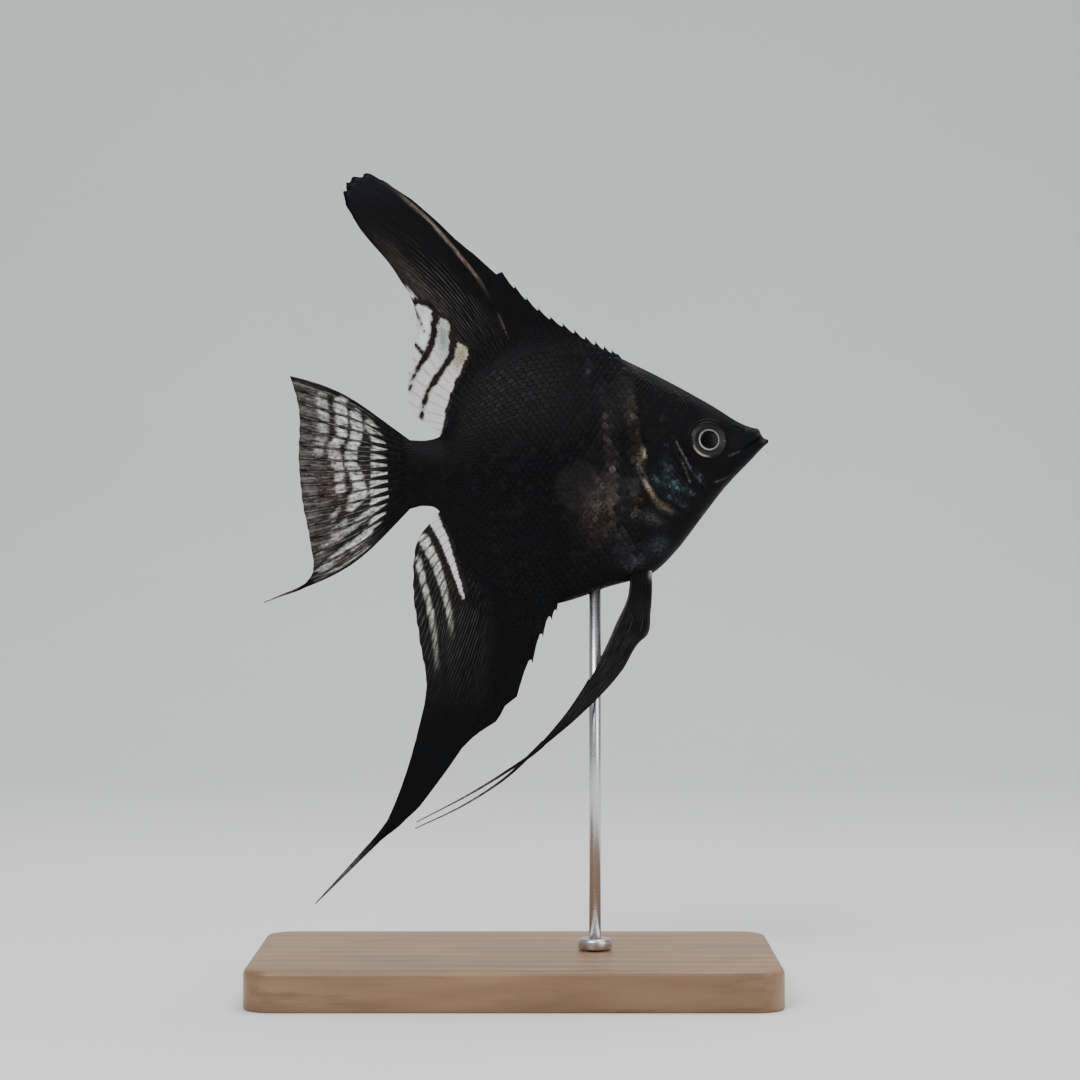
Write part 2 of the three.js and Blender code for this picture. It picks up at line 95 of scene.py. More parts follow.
def smooth(pairs):
    """A smooth function through (at, value) pairs."""
    at, value = np.array(pairs, float).T
    width = np.diff(at)
    rise = np.diff(value) / width
    inner = (rise[:-1] * width[1:] + rise[1:] * width[:-1]) / (width[:-1] + width[1:])
    slope = np.concatenate([rise[:1], inner, rise[-1:]])

    def curve(x):
        x = np.clip(x, at[0], at[-1])
        i = np.clip(np.searchsorted(at, x, side="right") - 1, 0, len(at) - 2)
        t = (x - at[i]) / width[i]
        s = 1 - t
        ends = value[i] * s * s * (1 + 2 * t) + value[i + 1] * t * t * (3 - 2 * t)
        return ends + width[i] * t * s * (slope[i] * s - slope[i + 1] * t)

    return curve


def line(points):
    """A smooth line through side-view points; its argument runs from 0 to 1 along its length."""
    points = np.array(points, float)
    run = np.concatenate([[0], np.cumsum(np.hypot(*np.diff(points, axis=0).T))])
    forwards = smooth(np.column_stack([run, points[:, 0]]))
    up = smooth(np.column_stack([run, points[:, 1]]))
    return lambda share: np.stack([forwards(share * run[-1]), up(share * run[-1])], -1)


def rays(roots, tips, lean, sweep, along):
    """Places on fin rays: one row for each root, one column for each share along the ray."""
    firm = 0.45 * np.linalg.norm(tips - roots, axis=-1)[:, None]
    from_, into = np.radians(lean)[:, None], np.radians(sweep)[:, None]
    near = roots + firm * np.hstack([np.cos(from_), np.sin(from_)])
    far = tips - firm * np.hstack([np.cos(into), np.sin(into)])
    t = np.asarray(along)[None, :, None]
    s = 1 - t
    stack = [p[:, None, :] for p in (roots, near, far, tips)]
    return s**3 * stack[0] + 3 * s * s * t * stack[1] + 3 * s * t * t * stack[2] + t**3 * stack[3]


def stroke(points, x, z):
    """(distance, share along) of places from a chain of straight strokes."""
    best = np.full(np.shape(x), 1e9)
    share = np.zeros(np.shape(x))
    points = np.array(points, float)
    lengths = np.hypot(*np.diff(points, axis=0).T)
    before = 0.0
    for a, b, length in zip(points[:-1], points[1:], lengths):
        t = np.clip(((x - a[0]) * (b[0] - a[0]) + (z - a[1]) * (b[1] - a[1])) / length**2, 0, 1)
        away = np.hypot(x - between(a[0], b[0], t), z - between(a[1], b[1], t))
        nearer = away < best
        best = np.where(nearer, away, best)
        share = np.where(nearer, (before + t * length) / lengths.sum(), share)
        before += length
    return best, share


def away_from(points, x, z):
    return stroke(points, x, z)[0]


# ------------------------------------------------------------------ the body's shape
back = smooth([
    (-30, 7), (-26.4, 7), (-23.8, 7.9), (-20, 14), (-16, 18.8), (-11, 22.6), (-5, 24.9),
    (1, 25.6), (6, 25.1), (11.2, 23.7), (15, 22), (23, 18), (30.2, 14), (37.2, 9.9),
    (38.7, 9.4), (39.8, 9), (40.4, 7.8), (SNOUT_X, 7),
])
belly = smooth([
    (-30, -6.8), (-27.2, -6.2), (-24, -7.4), (-21.6, -12), (-18.4, -17), (-14, -22), (-9, -25),
    (-4, -26.1), (0, -25.6), (4.8, -24.2), (9.6, -22.4), (14, -21.2), (18.6, -19.6), (23.4, -15),
    (28, -9), (32.6, -3), (38.6, 3.4), (41, 5.9), (SNOUT_X, 6.5),
])
girth = smooth([
    (-30, 1.4), (-26, 2.1), (-20, 3.4), (-10, 5.2), (0, 6.4), (10, 6.7), (20, 6.4), (29, 5.2),
    (35, 3.7), (39, 2.3), (SNOUT_X, 1),
])
gill_x = smooth([
    (-30, 44), (-9.6, 30.6), (-7.6, 25.6), (-5.6, 21.2), (-2.6, 18), (2, 16.6), (6, 16.8),
    (14, 15.6), (30, 12),
])
MOUTH = [(36.9, 5.2), (38.6, 6.5), (40.3, 7.7), (41.6, 8.4)]
JAW_FOLD = [(36.9, 5.2), (36.2, 7.2), (36.9, 9.4)]
CHIN_FOLD = [(36.9, 5.0), (35.2, 3.4), (33.2, 0.4)]
JAW_HINGE = [(36.9, 5.2), (32, 1.5), (30.5, -4)]
PREOPERCLE = [(22.4, 8), (22.9, 5.6), (24, 3), (26, 0.6), (28.6, -1.2), (31.4, -2.4)]
# Each fold's course, then how much it adds, how far from its course, and how wide.
FOLDS = [
    (PREOPERCLE, [(-0.16, 0, 0.3), (0.08, 0.8, 0.6)]), (MOUTH, [(-0.4, 0, 0.13), (0.14, 0.5, 0.3)]),
    (JAW_FOLD, [(-0.16, 0, 0.24)]), (CHIN_FOLD, [(-0.13, 0, 0.26)]),
]
NOSTRIL = (35.2, 9.3)
PECTORAL_ROOT = (15.6, -2.4)  # the middle of its base
PECTORAL_SPREAD = (17, -27)  # degrees up from straight back, of its upper and its lower edge
PECTORAL_OUT = 12.5  # degrees that it stands off the flank


def middle(x):
    return (back(x) + belly(x)) / 2


def up_at(x, share):
    """How far up a share of the body's height lies: -1 at the belly, 1 at the back."""
    return middle(x) + share * (back(x) - belly(x)) / 2


def share_at(x, z):
    return (z - middle(x)) / ((back(x) - belly(x)) / 2)


def root_half(x, base):
    """Half of the rim's thickness under a tall fin, falling to 0 past either end of it."""
    front, rear = base
    return ROOT_HALF * (ease(rear - 3, rear + 1.5, x) * ease(front + 3, front - 3, x))


def gill_distance(x, z):
    """How far a place lies in front of the gill cover's rear edge."""
    slope = (gill_x(z + 0.1) - gill_x(z - 0.1)) / 0.2
    return (x - gill_x(z)) / np.sqrt(1 + slope**2)


def relief(x, z):
    """What the folds of the head add to half of the thickness."""
    gill = gill_distance(x, z)
    gill_span = ease(9.5, 6.5, z) * ease(-10.5, -8.5, z)
    flap = 0.34 * ease(-0.12, 0.2, gill) * np.exp(-np.maximum(gill, 0) / 4.5)
    groove = -0.42 * bump(gill, -0.4, 0.38)
    total = (flap + groove) * gill_span
    for course, ridges in FOLDS:
        away = away_from(course, x, z)
        total += sum(much * bump(away, off, wide) for much, off, wide in ridges)
    nostril = np.hypot(x - NOSTRIL[0], z - NOSTRIL[1])
    total += -0.45 * bump(nostril, 0, 0.26) + 0.12 * bump(nostril, 0.52, 0.2)
    eye = np.hypot(x - EYE_AT[0], z - EYE_AT[1])
    socket = ease(EYE_RADIUS + 0.05, EYE_RADIUS - 0.8, eye)
    total += 0.14 * bump(eye, EYE_RADIUS + 0.5, 0.7) - 2.6 * socket
    lobe = np.hypot((x - PECTORAL_ROOT[0]) / 1.1, (z - PECTORAL_ROOT[1]) / 2.3)
    return total + 0.3 * bump(lobe, 0, 1) * ease(0.2, -0.6, gill)


def body_half(x, share):
    """Half of the body's thickness; share runs from -1 at the belly to 1 at the back."""
    rim = np.where(share > 0, root_half(x, DORSAL_BASE), root_half(x, ANAL_BASE))
    roundness = between(*LENS_ROUND, rim / ROOT_HALF)
    start, over = SNOUT_ROUND
    nose = np.sqrt(np.clip(1 - (np.maximum(x - start, 0) / over) ** 2, 0, 1))
    thick = (girth(x) - COAT) * nose
    lens = (1 - np.minimum(np.abs(share), 1) ** LENS_POWER) ** roundness
    inner = ease(*NEAR_RIM, np.abs(share))
    return rim + np.maximum(thick - rim, 0) * lens + relief(x, up_at(x, share)) * inner * nose


# The swing of each end: past a distance from the middle, over a length, by so much, how suddenly.
SWING = {"tail": (12, 48, 3.4, 1.8), "top": (26, 36, 1.5, 1.6), "bottom": (28, 58, -2.2, 1.6)}


def sway(x, z):
    """How far the middle plane swings to the left."""
    ways = {"tail": -x, "top": z, "bottom": -z}
    return sum(by * (np.maximum(ways[end] - past, 0) / over) ** power
               for end, (past, over, by, power) in SWING.items())


def placed(x, y, z):
    """Places in the fish's frame as metres in the model's frame."""
    return np.stack([x + FISH_AT[0], y + sway(x, z), z + FISH_AT[1]], -1) * MM


# ------------------------------------------------------------------ the tall fins' outlines
DORSAL = dict(
    rim=back, side=1, base=DORSAL_BASE, spines=12, spine_roots=(DORSAL_BASE[0], -4.6), crowding=1.37,
    tips=line([(11.2, 24.6), (2, 29.6), (-4.4, 33.5), (-8.2, 37.1), (-11.6, 40.7)]),
    roots=(-5.8, DORSAL_BASE[1]),
    lean=smooth([(0, 113), (0.5, 126), (0.85, 150), (1, 165)]),
    sweep=smooth([(0, 118), (0.06, 130), (0.12, 138), (0.3, 143), (0.7, 130), (1, 150)]),
    reach=smooth([(0, 0), (0.12, 0.25), (0.19, 0.35), (0.3, 0.42), (0.6, 0.67), (0.85, 0.89), (1, 1)]),
    comb=0.5, notch=(0.9, 1.7),
    edge=line([
        (-12.8, 40.3), (-14.9, 42.3), (-17.2, 44.3), (-19.5, 46.1), (-22.6, 49), (-25.6, 51.8),
        (-29, 54.8), (-33.8, 58.2), (-39.8, 60.9), (-42.6, 59.6),
        (-43.7, 56.6), (-41.5, 51.6), (-33, 40.6), (-29.1, 33.2), (-29.3, 25.4), (-30.7, 18),
        (-29.3, 12), (-25.2, 9.3),
    ]),
)
ANAL = dict(
    rim=belly, side=-1, base=ANAL_BASE, spines=5, spine_roots=(ANAL_BASE[0], -6.4), crowding=1.75,
    tips=line([(-0.8, -27.7), (-2.9, -31.4), (-5.4, -37.5), (-8.6, -44.3)]),
    roots=(-7.6, ANAL_BASE[1]),
    lean=smooth([(0, -96), (0.5, -112), (0.85, -140), (1, -160)]),
    sweep=smooth([
        (0, -100), (0.06, -118), (0.12, -128), (0.25, -136), (0.42, -118), (0.7, -112), (1, -140),
    ]),
    reach=smooth([
        (0, 0), (0.08, 0.18), (0.16, 0.32), (0.24, 0.38), (0.38, 0.46), (0.62, 0.66), (0.85, 0.87),
        (1, 1),
    ]),
    comb=0.0, notch=(1.1, 2.9),
    edge=line([
        (-11, -46.3), (-12.8, -49.5), (-16.6, -51.9), (-20.8, -56.1), (-28.8, -67.1), (-33.4, -71.3),
        (-37, -73.9), (-34.5, -69), (-28.5, -51.4), (-26.8, -42.6), (-28.2, -33), (-29.5, -22),
        (-28.3, -12.6), (-25.4, -8.8),
    ]),
)
TAIL_EDGE = line([
    (-54.3, 20), (-52.7, 14.4), (-52.5, 2), (-51.7, -5.8), (-50.3, -13), (-49.9, -20), (-52.3, -23),
])


def patch(x, z, half, ray=0.0, rise=0.0, fin=0.0, kind=0):
    """A grid of places in the side view with what is known at each of them."""
    grid = dict(x=x, z=z, half=half, ray=ray, rise=rise, fin=fin, kind=kind)
    return {name: np.broadcast_to(value, x.shape).astype(float) for name, value in grid.items()}


DORSAL_FIN, ANAL_FIN, TAIL_FIN = 1, 2, 3  # the kinds of place that aren't body, which is 0


def on_ray(ray):
    """1 on each fin ray, falling to 0 half way to the next."""
    return 0.5 + 0.5 * np.cos(2 * np.pi * ray)


def ragged(root, tip, ray, depth):
    """Fin ray tips with the web drawn in between them, no two quite alike."""
    chord = tip - root
    length = np.linalg.norm(chord, axis=-1)
    drawn_in = depth * (1 - on_ray(ray)) + 0.8 * depth * rng.random(len(ray))
    return tip - chord * (np.minimum(drawn_in, 0.1 * length) / np.maximum(length, 0.1))[:, None]


def fin_half(height, ray, rise, at_root):
    """Half of a fin's thickness: ribs over a thin web, swelling towards the root."""
    branch = ease(0.35, 0.6, rise)
    rib = on_ray(ray) ** 2 * (1 - 0.45 * branch)
    ribbed = WEB_HALF + (RAY_HALF - WEB_HALF) * rib * between(1, 0.35, rise)
    edge = between(1, 0.45, ease(0.93, 1, rise))
    return between(ribbed * edge, at_root, np.exp(-height / 2.0) * ease(1, 0.3, rise))


# How deep the web lies below the line between two spines' tips, from the front one to the rear one.
SAW_TOOTH = smooth([(0, 0), (0.1, 0.65), (0.3, 1), (0.6, 0.8), (0.85, 0.35), (1, 0)])
SPINE_COLUMNS = (0.0, 0.1, 0.3, 0.6, 0.85)  # the grid's columns from one spine to the next
SPINE_HALF, SPINE_SWELL, SPINE_WIDE = 0.09, 0.22, 0.16  # a spiny web, its spines and their width


def spine_columns(fin):
    """The spiny front of a fin: stiff spines with a stepped web between their tips."""
    low, high = fin["spine_roots"]
    count = fin["spines"]
    at = np.array([k + f for k in range(count - 1) for f in SPINE_COLUMNS] + [count - 1])
    root_x = between(low, high, at / (count - 1))
    root = np.stack([root_x, fin["rim"](root_x)], -1)
    spine = np.floor(at + 1e-9)
    part = at - spine

    def course(number, share):
        start_x = between(low, high, number / (count - 1))
        start = np.stack([start_x, fin["rim"](start_x)], -1)
        tip = fin["tips"]((number / (count - 1)) ** fin["crowding"])
        return start + (tip - start) * share[:, None]

    spine_line = course(spine, np.ones(len(at))) - course(spine, np.zeros(len(at)))
    length = np.linalg.norm(spine_line, axis=-1)
    drop = between(*fin["notch"], spine / count) * SAW_TOOTH(part)
    height = np.maximum(1 - drop / length, 0.3)
    following = np.minimum(spine + 1, count - 1)
    tip = between(course(spine, height), course(following, height), part[:, None])
    return root, tip, at


def fin_patch(fin):
    """A tall fin's grid: its spines' columns, one that links, and its soft rays' columns."""
    along = np.linspace(0, 1, FIN_ROWS + 1)
    root, tip, ray = spine_columns(fin)
    chord = tip - root
    angle = np.degrees(np.arctan2(chord[:, 1], chord[:, 0]))
    spiny = rays(root, tip, angle, angle, along)

    share = np.linspace(0, 1, SOFT_RAYS * RAY_COLUMNS + 1)
    soft_x = between(fin["roots"][0], fin["roots"][1], share)
    soft_root = np.stack([soft_x, fin["rim"](soft_x)], -1)
    soft_ray = share * SOFT_RAYS
    depth = 0.24 + fin["comb"] * bump(share, 0.24, 0.09)
    soft_tip = ragged(soft_root, fin["edge"](fin["reach"](share)), soft_ray, depth)
    soft = rays(soft_root, soft_tip, fin["lean"](share), fin["sweep"](share), along ** 1.15)

    link = between(spiny[-1], soft[0], 0.5)
    grid = np.concatenate([spiny, link[None], soft])
    link_x = (root[-1, 0] + soft_x[0]) / 2
    grid[len(spiny), 0] = (link_x, fin["rim"](link_x))
    rays_all = np.concatenate([ray, [ray[-1] + 0.5], np.ceil(ray[-1]) + 1 + soft_ray])
    height = np.linalg.norm(grid - grid[:, :1], axis=-1)
    at_root = root_half(grid[:, 0, 0], fin["base"])[:, None]
    rise = np.broadcast_to(along, height.shape)
    half = fin_half(height, rays_all[:, None], rise, at_root)
    spiny_zone = (np.arange(len(grid)) < len(spiny))[:, None]
    off_spine = rays_all[:, None] - np.round(rays_all[:, None])
    stiff = SPINE_HALF + SPINE_SWELL * bump(off_spine, 0, SPINE_WIDE)
    rooted = np.exp(-height / 1.5) * ease(1, 0.3, rise)
    stiff = between(stiff * between(1, 0.4, rise), at_root, rooted)
    half = np.where(spiny_zone, stiff, half)
    half[:, 0] = at_root[:, 0]
    kind = DORSAL_FIN if fin["side"] > 0 else ANAL_FIN
    on_fin = ease(0.0, 2.5, height)
    return patch(grid[..., 0], grid[..., 1], half, rays_all[:, None], rise, on_fin, kind)


def tail_patch():
    """The tail fin's grid: its columns start on the rows of the body's own grid."""
    along = np.linspace(0, 1, TAIL_ROWS + 1)
    share = np.linspace(0, 1, BODY_ROWS + 1)
    low, high = belly(STALK_END_X), back(STALK_END_X)
    spread = row_shares()[::-1]
    root_z = (low + high) / 2 + spread * (high - low) / 2
    root = np.stack([np.full(len(share), STALK_END_X), root_z], -1)
    lean = between(145, 226, share)
    sweep = smooth([(0, 167), (0.2, 165), (0.55, 184), (0.85, 200), (1, 200)])(share)
    tip = ragged(root, TAIL_EDGE(share), share * TAIL_RAYS, 0.1)
    grid = rays(root, tip, lean, sweep, along)
    height = np.linalg.norm(grid - grid[:, :1], axis=-1)
    ray = (share * TAIL_RAYS)[:, None]
    rise = np.broadcast_to(along, height.shape)
    at_root = body_half(np.full(len(share), STALK_END_X), spread)[:, None]
    half = fin_half(height, ray, rise, at_root)
    half[:, 0] = at_root[:, 0]
    return patch(grid[..., 0], grid[..., 1], half, ray, rise, ease(0.5, 3, height), TAIL_FIN)


# ------------------------------------------------------------------ the body's grid
def row_shares():
    """The heights of the body's rows, closer together near its rims, from -1 to 1."""
    q = np.linspace(-1, 1, BODY_ROWS + 1)
    return 0.28 * q + 0.72 * np.sin(np.pi * q / 2)


def body_patch(dorsal, anal):
    """The flank, with its columns ending on the roots of the tall fins' own columns."""
    nose = np.linspace(SNOUT_X, LIPS_X, LIP_COLUMNS + 1)[:-1]
    spare = dorsal["x"].shape[0] - anal["x"].shape[0]
    top = np.concatenate([
        nose, np.linspace(LIPS_X, DORSAL_BASE[0], HEAD_COLUMNS + 1)[:-1],
        dorsal["x"][:, 0], np.linspace(DORSAL_BASE[1], STALK_END_X, STALK_COLUMNS + 1)[1:],
    ])
    low = np.concatenate([
        nose, np.linspace(LIPS_X, ANAL_BASE[0], HEAD_COLUMNS + spare + 1)[:-1],
        anal["x"][:, 0], np.linspace(ANAL_BASE[1], STALK_END_X, STALK_COLUMNS + 1)[1:],
    ])
    shares = row_shares()
    x = between(low[:, None], top[:, None], ease(-1, 1, shares)[None, :])
    half = np.maximum(body_half(x, np.broadcast_to(shares, x.shape)), 0)
    return patch(x, up_at(x, shares[None, :]), half)


# ------------------------------------------------------------------ meshes
def cells(corner):
    """The four corners of each cell of a grid of vertex numbers."""
    around = [corner[:-1, :-1], corner[:-1, 1:], corner[1:, 1:], corner[1:, :-1]]
    return np.stack(around, -1).reshape(-1, 4)


def bands(corner):
    """The same for a grid whose rows close into rings."""
    after = np.roll(corner, -1, axis=1)
    return np.stack([corner[:-1], after[:-1], after[1:], corner[1:]], -1).reshape(-1, 4)


WELD_STEPS = 2000  # to a millimetre: places that round to the same one are joined
SHARP_HALF = 1e-3  # a rim thinner than this closes on itself


def weld(patches):
    """Joins patches by their shared places into (values by name, quads)."""
    keys, quads, before = [], [], 0
    for grid in patches:
        rows, columns = grid["x"].shape
        keys.append(np.round(np.stack([grid["x"], grid["z"]], -1).reshape(-1, 2) * WELD_STEPS))
        corner = before + np.arange(rows * columns).reshape(rows, columns)
        quads.append(cells(corner))
        before += rows * columns
    keys = np.concatenate(keys)
    _, first, inverse = np.unique(keys, axis=0, return_index=True, return_inverse=True)
    values = {n: np.concatenate([g[n].ravel() for g in patches])[first] for n in patches[0]}
    return values, inverse.ravel()[np.concatenate(quads)]


def two_sided(values, quads):
    """Mirrors one half across the middle plane and closes it along its rim."""
    used, quads = np.unique(quads, return_inverse=True)
    quads = quads.reshape(-1, 4)
    values = {name: value[used] for name, value in values.items()}
    count = len(used)
    sharp = values["half"] < SHARP_HALF
    partner = np.where(sharp, np.arange(count), np.arange(count) + count)
    edges = {}
    for a, b in quads[:, [0, 1, 1, 2, 2, 3, 3, 0]].reshape(-1, 2):
        if (b, a) in edges:
            del edges[(b, a)]
        else:
            edges[(a, b)] = True
    faces = [list(dict.fromkeys(q)) for q in quads.tolist()]
    faces += [list(dict.fromkeys(partner[q][::-1].tolist())) for q in quads]
    for a, b in edges:
        faces.append(list(dict.fromkeys([b, a, int(partner[a]), int(partner[b])])))
    faces = [face for face in faces if len(face) > 2]
    both = {name: np.concatenate([value, value]) for name, value in values.items()}
    y = np.concatenate([-values["half"], values["half"]])
    in_use = np.concatenate([np.ones(count, bool), ~sharp])
    number = np.cumsum(in_use) - 1
    faces = [[int(number[v]) for v in face] for face in faces]
    both = {name: value[in_use] for name, value in both.items()}
    return placed(both["x"], y[in_use], both["z"]), faces, both


def plate_rim(corner):
    """The vertex numbers once round the rim of a grid."""
    return np.concatenate([corner[0, :-1], corner[:-1, -1], corner[-1, :0:-1], corner[:0:-1, 0]])


def strip_plate(mid, half):
    """A closed plate over a grid of middle places (metres); its half thickness (mm) goes sideways."""
    rows, columns = half.shape
    offset = half[..., None] * MM * np.array([0, 1, 0])
    points = np.concatenate([(mid - offset).reshape(-1, 3), (mid + offset).reshape(-1, 3)])
    corner = np.arange(rows * columns).reshape(rows, columns)
    quads = cells(corner)
    other = rows * columns
    faces = quads.tolist() + (quads[:, ::-1] + other).tolist()
    rim = plate_rim(corner)
    for here, after in zip(rim, np.roll(rim, -1)):
        faces.append([int(after), int(here), int(here) + other, int(after) + other])
    return points, faces


def in_scene(name, data):
    made = bpy.data.objects.new(name, data)
    bpy.context.scene.collection.objects.link(made)
    return made


def mesh_object(name, points, faces, attributes=None):
    """A smooth-shaded mesh with float and colour attributes on its points."""
    mesh = bpy.data.meshes.new(name)
    mesh.from_pydata([tuple(p) for p in points], [], faces)
    for key, value in (attributes or {}).items():
        kind, field = ("FLOAT_COLOR", "color") if np.ndim(value) == 2 else ("FLOAT", "value")
        layer = mesh.attributes.new(key, kind, "POINT")
        layer.data.foreach_set(field, np.ravel(value).astype(np.float32))
    mesh.polygons.foreach_set("use_smooth", [True] * len(mesh.polygons))
    mesh.validate()
    mesh.update()
    return in_scene(name, mesh)


# ------------------------------------------------------------------ colours
BLACK, BLUE_BLACK = (0.0026, 0.0023, 0.0024), (0.0022, 0.0026, 0.0036)
CREAM, BROWN = (0.62, 0.50, 0.36), (0.115, 0.07, 0.055)
VIOLET, STEEL, PALE_STEEL = (0.085, 0.06, 0.068), (0.06, 0.07, 0.092), (0.17, 0.19, 0.21)
TEAL, GREEN = (0.055, 0.105, 0.115), (0.045, 0.105, 0.078)
OLIVE, LILAC = (0.14, 0.118, 0.082), (0.16, 0.145, 0.175)
WHITE, SMOKE = (0.62, 0.61, 0.57), (0.11, 0.10, 0.095)
# The first colour on the next line is a painted bluish highlight for the upper lip.
LIP_HIGHLIGHT, STREAK_TAN, REAR_BROWN = (0.045, 0.05, 0.085), (0.21, 0.155, 0.12), (0.075, 0.057, 0.05)
# The second colour on the next line is for the pale lines along fin rays: partly their paler colour,
# partly a painted glint.
TIP_BLACK, PALE_RAY_GLINT, PALE_FILM = (0.005, 0.005, 0.012), (0.19, 0.172, 0.155), (0.24, 0.225, 0.2)
MILK, GREEN_MILK, YELLOW_MILK = (0.66, 0.70, 0.72), (0.20, 0.23, 0.20), (0.25, 0.22, 0.12)
# The last colour on the next line is a painted sheen that lightens the duller, rougher scales.
FRINGE, DARK_WEB, DULL_SCALE_SHEEN = (0.30, 0.28, 0.26), (0.022, 0.013, 0.012), (0.008, 0.0072, 0.008)
IRIS, IRIS_CLOUD, IRIS_FIBRE = (0.005, 0.005, 0.006), (0.014, 0.013, 0.0145), (0.036, 0.033, 0.032)
IRIS_WARM, IRIS_ARC, IRIS_EDGE = (0.05, 0.037, 0.028), (0.10, 0.09, 0.085), (0.004, 0.004, 0.0045)
CRESCENT, RING_SHADE, RING_SHINE = (0.46, 0.38, 0.29), (0.18, 0.18, 0.172), (0.38, 0.36, 0.33)
PUPIL = (0.0012, 0.0012, 0.0012)
OAK, PALE_OAK, OAK_RING = (0.20, 0.115, 0.06), (0.33, 0.20, 0.105), (0.12, 0.065, 0.034)
OAK_PORE, DULL_METAL, METAL = (0.07, 0.036, 0.02), (0.52, 0.52, 0.53), (0.66, 0.66, 0.67)
PAPER, PALE_PAPER = (0.66, 0.67, 0.66), (0.70, 0.71, 0.70)

# Soft patches on the flank: forwards, up, half length, half height, degrees of turn, colour, strength.
PATCHES = [
    (9.7, 9.6, 0.9, 5.0, 0, VIOLET, 0.42), (10.7, 1.4, 0.9, 3.8, 0, VIOLET, 0.62),
    (10.9, 0.6, 0.5, 0.6, 0, SMOKE, 0.42), (9.9, -1.0, 0.7, 0.4, 0, SMOKE, 0.45),
    (8.6, -3.9, 2.6, 2.8, 0, OLIVE, 0.3), (7.2, -3.6, 0.5, 0.5, 0, SMOKE, 0.5),
    (7.8, -8.2, 3.4, 4.6, 0, BROWN, 0.34), (12.0, -6.0, 1.2, 3.0, 0, STEEL, 0.16),
    (10.6, -4.6, 0.7, 4.4, 0, BROWN, 0.3), (12.4, -13.4, 1.3, 2.8, 0, LILAC, 0.13),
    (14.6, -17.2, 1.8, 1.3, 0, LILAC, 0.2),
    (14.4, 13.0, 0.8, 2.2, 0, OLIVE, 0.5), (15.1, 9.0, 0.5, 2.2, 0, OLIVE, 0.2),
    (15.6, 2.4, 0.8, 2.1, 0, OLIVE, 0.5), (16.6, 4.2, 0.4, 0.9, 10, CREAM, 0.62),
    (16.7, -0.8, 0.5, 1.5, 18, LILAC, 0.5), (17.5, -2.7, 0.36, 1.3, 35, CREAM, 0.8),
    (18.9, -4.9, 0.5, 1.5, 40, OLIVE, 0.55), (20.7, -6.5, 1.9, 0.75, -32, OLIVE, 0.5),
    (15.4, -5.2, 0.9, 1.6, 0, OLIVE, 0.3), (14.6, -2.6, 0.5, 1.2, 0, LILAC, 0.16),
    # First on the next line: a painted bluish highlight on the upper lip; then the lower jaw's violet
    # tip.
    (39.9, 8.2, 0.5, 0.6, 0, LIP_HIGHLIGHT, 0.6), (40.7, 6.8, 0.7, 0.4, 25, VIOLET, 0.6),
    (14.6, -8.0, 0.9, 1.2, 0, SMOKE, 0.2), (18.0, -8.6, 2.6, 1.2, -25, SMOKE, 0.28),
    (19.6, -14.2, 1.9, 1.7, 20, STEEL, 0.42), (14.4, -16.0, 2.8, 2.0, 0, STEEL, 0.22),
    (6.0, 20.8, 0.6, 2.2, 0, STEEL, 0.2), (8.4, 16.0, 0.7, 2.4, 0, STEEL, 0.1),
    (20.4, 11.0, 0.5, 0.4, 0, BROWN, 0.3),
    (19.2, -1.4, 0.6, 1.3, 25, GREEN, 0.75), (22.9, -2.1, 1.9, 0.9, -28, TEAL, 0.85),
    (21.6, 0.9, 1.0, 1.9, 15, STEEL, 0.5), (26.2, -3.6, 0.75, 0.35, -20, PALE_STEEL, 0.55),
    (22.2, -4.7, 1.0, 0.7, -30, STEEL, 0.5), (24.5, -6.0, 1.1, 0.7, -40, STEEL, 0.6),
]
# Thin lines on the head: its points, half width at each end, colour, strength.
LINES = [
    ([(22.9, 6.6), (25.5, 1.8)], 0.08, 0.14, SMOKE, 0.8),
    ([(25.5, 1.8), (28.3, -1.3)], 0.22, 0.55, STEEL, 0.62),
    ([(23.9, 3.2), (26.2, -2.7)], 0.04, 0.06, OLIVE, 0.6),
    ([(30.8, -1.5), (33.4, -0.5)], 0.16, 0.05, SMOKE, 0.4),
    ([(33.5, 3.7), (35.8, 4.7)], 0.18, 0.05, SMOKE, 0.4),
    ([(20.0, 6.2), (21.0, 5.8), (22.0, 6.3)], 0.08, 0.08, SMOKE, 0.35),
]


def tinted(colour, toward, amount):
    """Lays a colour over (red, green, blue, amount) places, by an amount of its own."""
    amount = np.clip(amount, 0, 1)[..., None]
    under = colour[..., 3:] * (1 - amount)
    total = amount + under
    mixed = (colour[..., :3] * under + np.array(toward) * amount) / np.maximum(total, 1e-6)
    return np.concatenate([mixed, total], -1)


def stepped(ray, seed):
    """A value from -1 to 1 that is the same along each fin ray but steps from one to the next."""
    drawn = np.sin(np.floor(ray + 0.5) * 12.9898 + seed * 78.233) * 43758.5453
    return 2 * (drawn - np.floor(drawn)) - 1


def plain(x):
    """No tint at all, for every place of a grid."""
    return np.zeros(x.shape + (4,))


def ellipse(x, z, centre_x, centre_z, long, tall, turn):
    """1 in the middle of an ellipse turned by some degrees, fading outwards."""
    c, s = math.cos(math.radians(turn)), math.sin(math.radians(turn))
    across = ((x - centre_x) * c + (z - centre_z) * s) / long
    up = ((z - centre_z) * c - (x - centre_x) * s) / tall
    return np.exp(-(across**2 + up**2))


def body_colour(x, z):
    """The body's tint, and how much of it shows, from the patches and lines above."""
    colour = plain(x)
    for *where, toward, strength in PATCHES:
        colour = tinted(colour, toward, strength * ellipse(x, z, *where))
    for points, thin, wide, toward, strength in LINES:
        away, share = stroke(points, x, z)
        width = between(thin, wide, share)
        colour = tinted(colour, toward, strength * ease(width + 0.16, width - 0.04, away))
    return colour


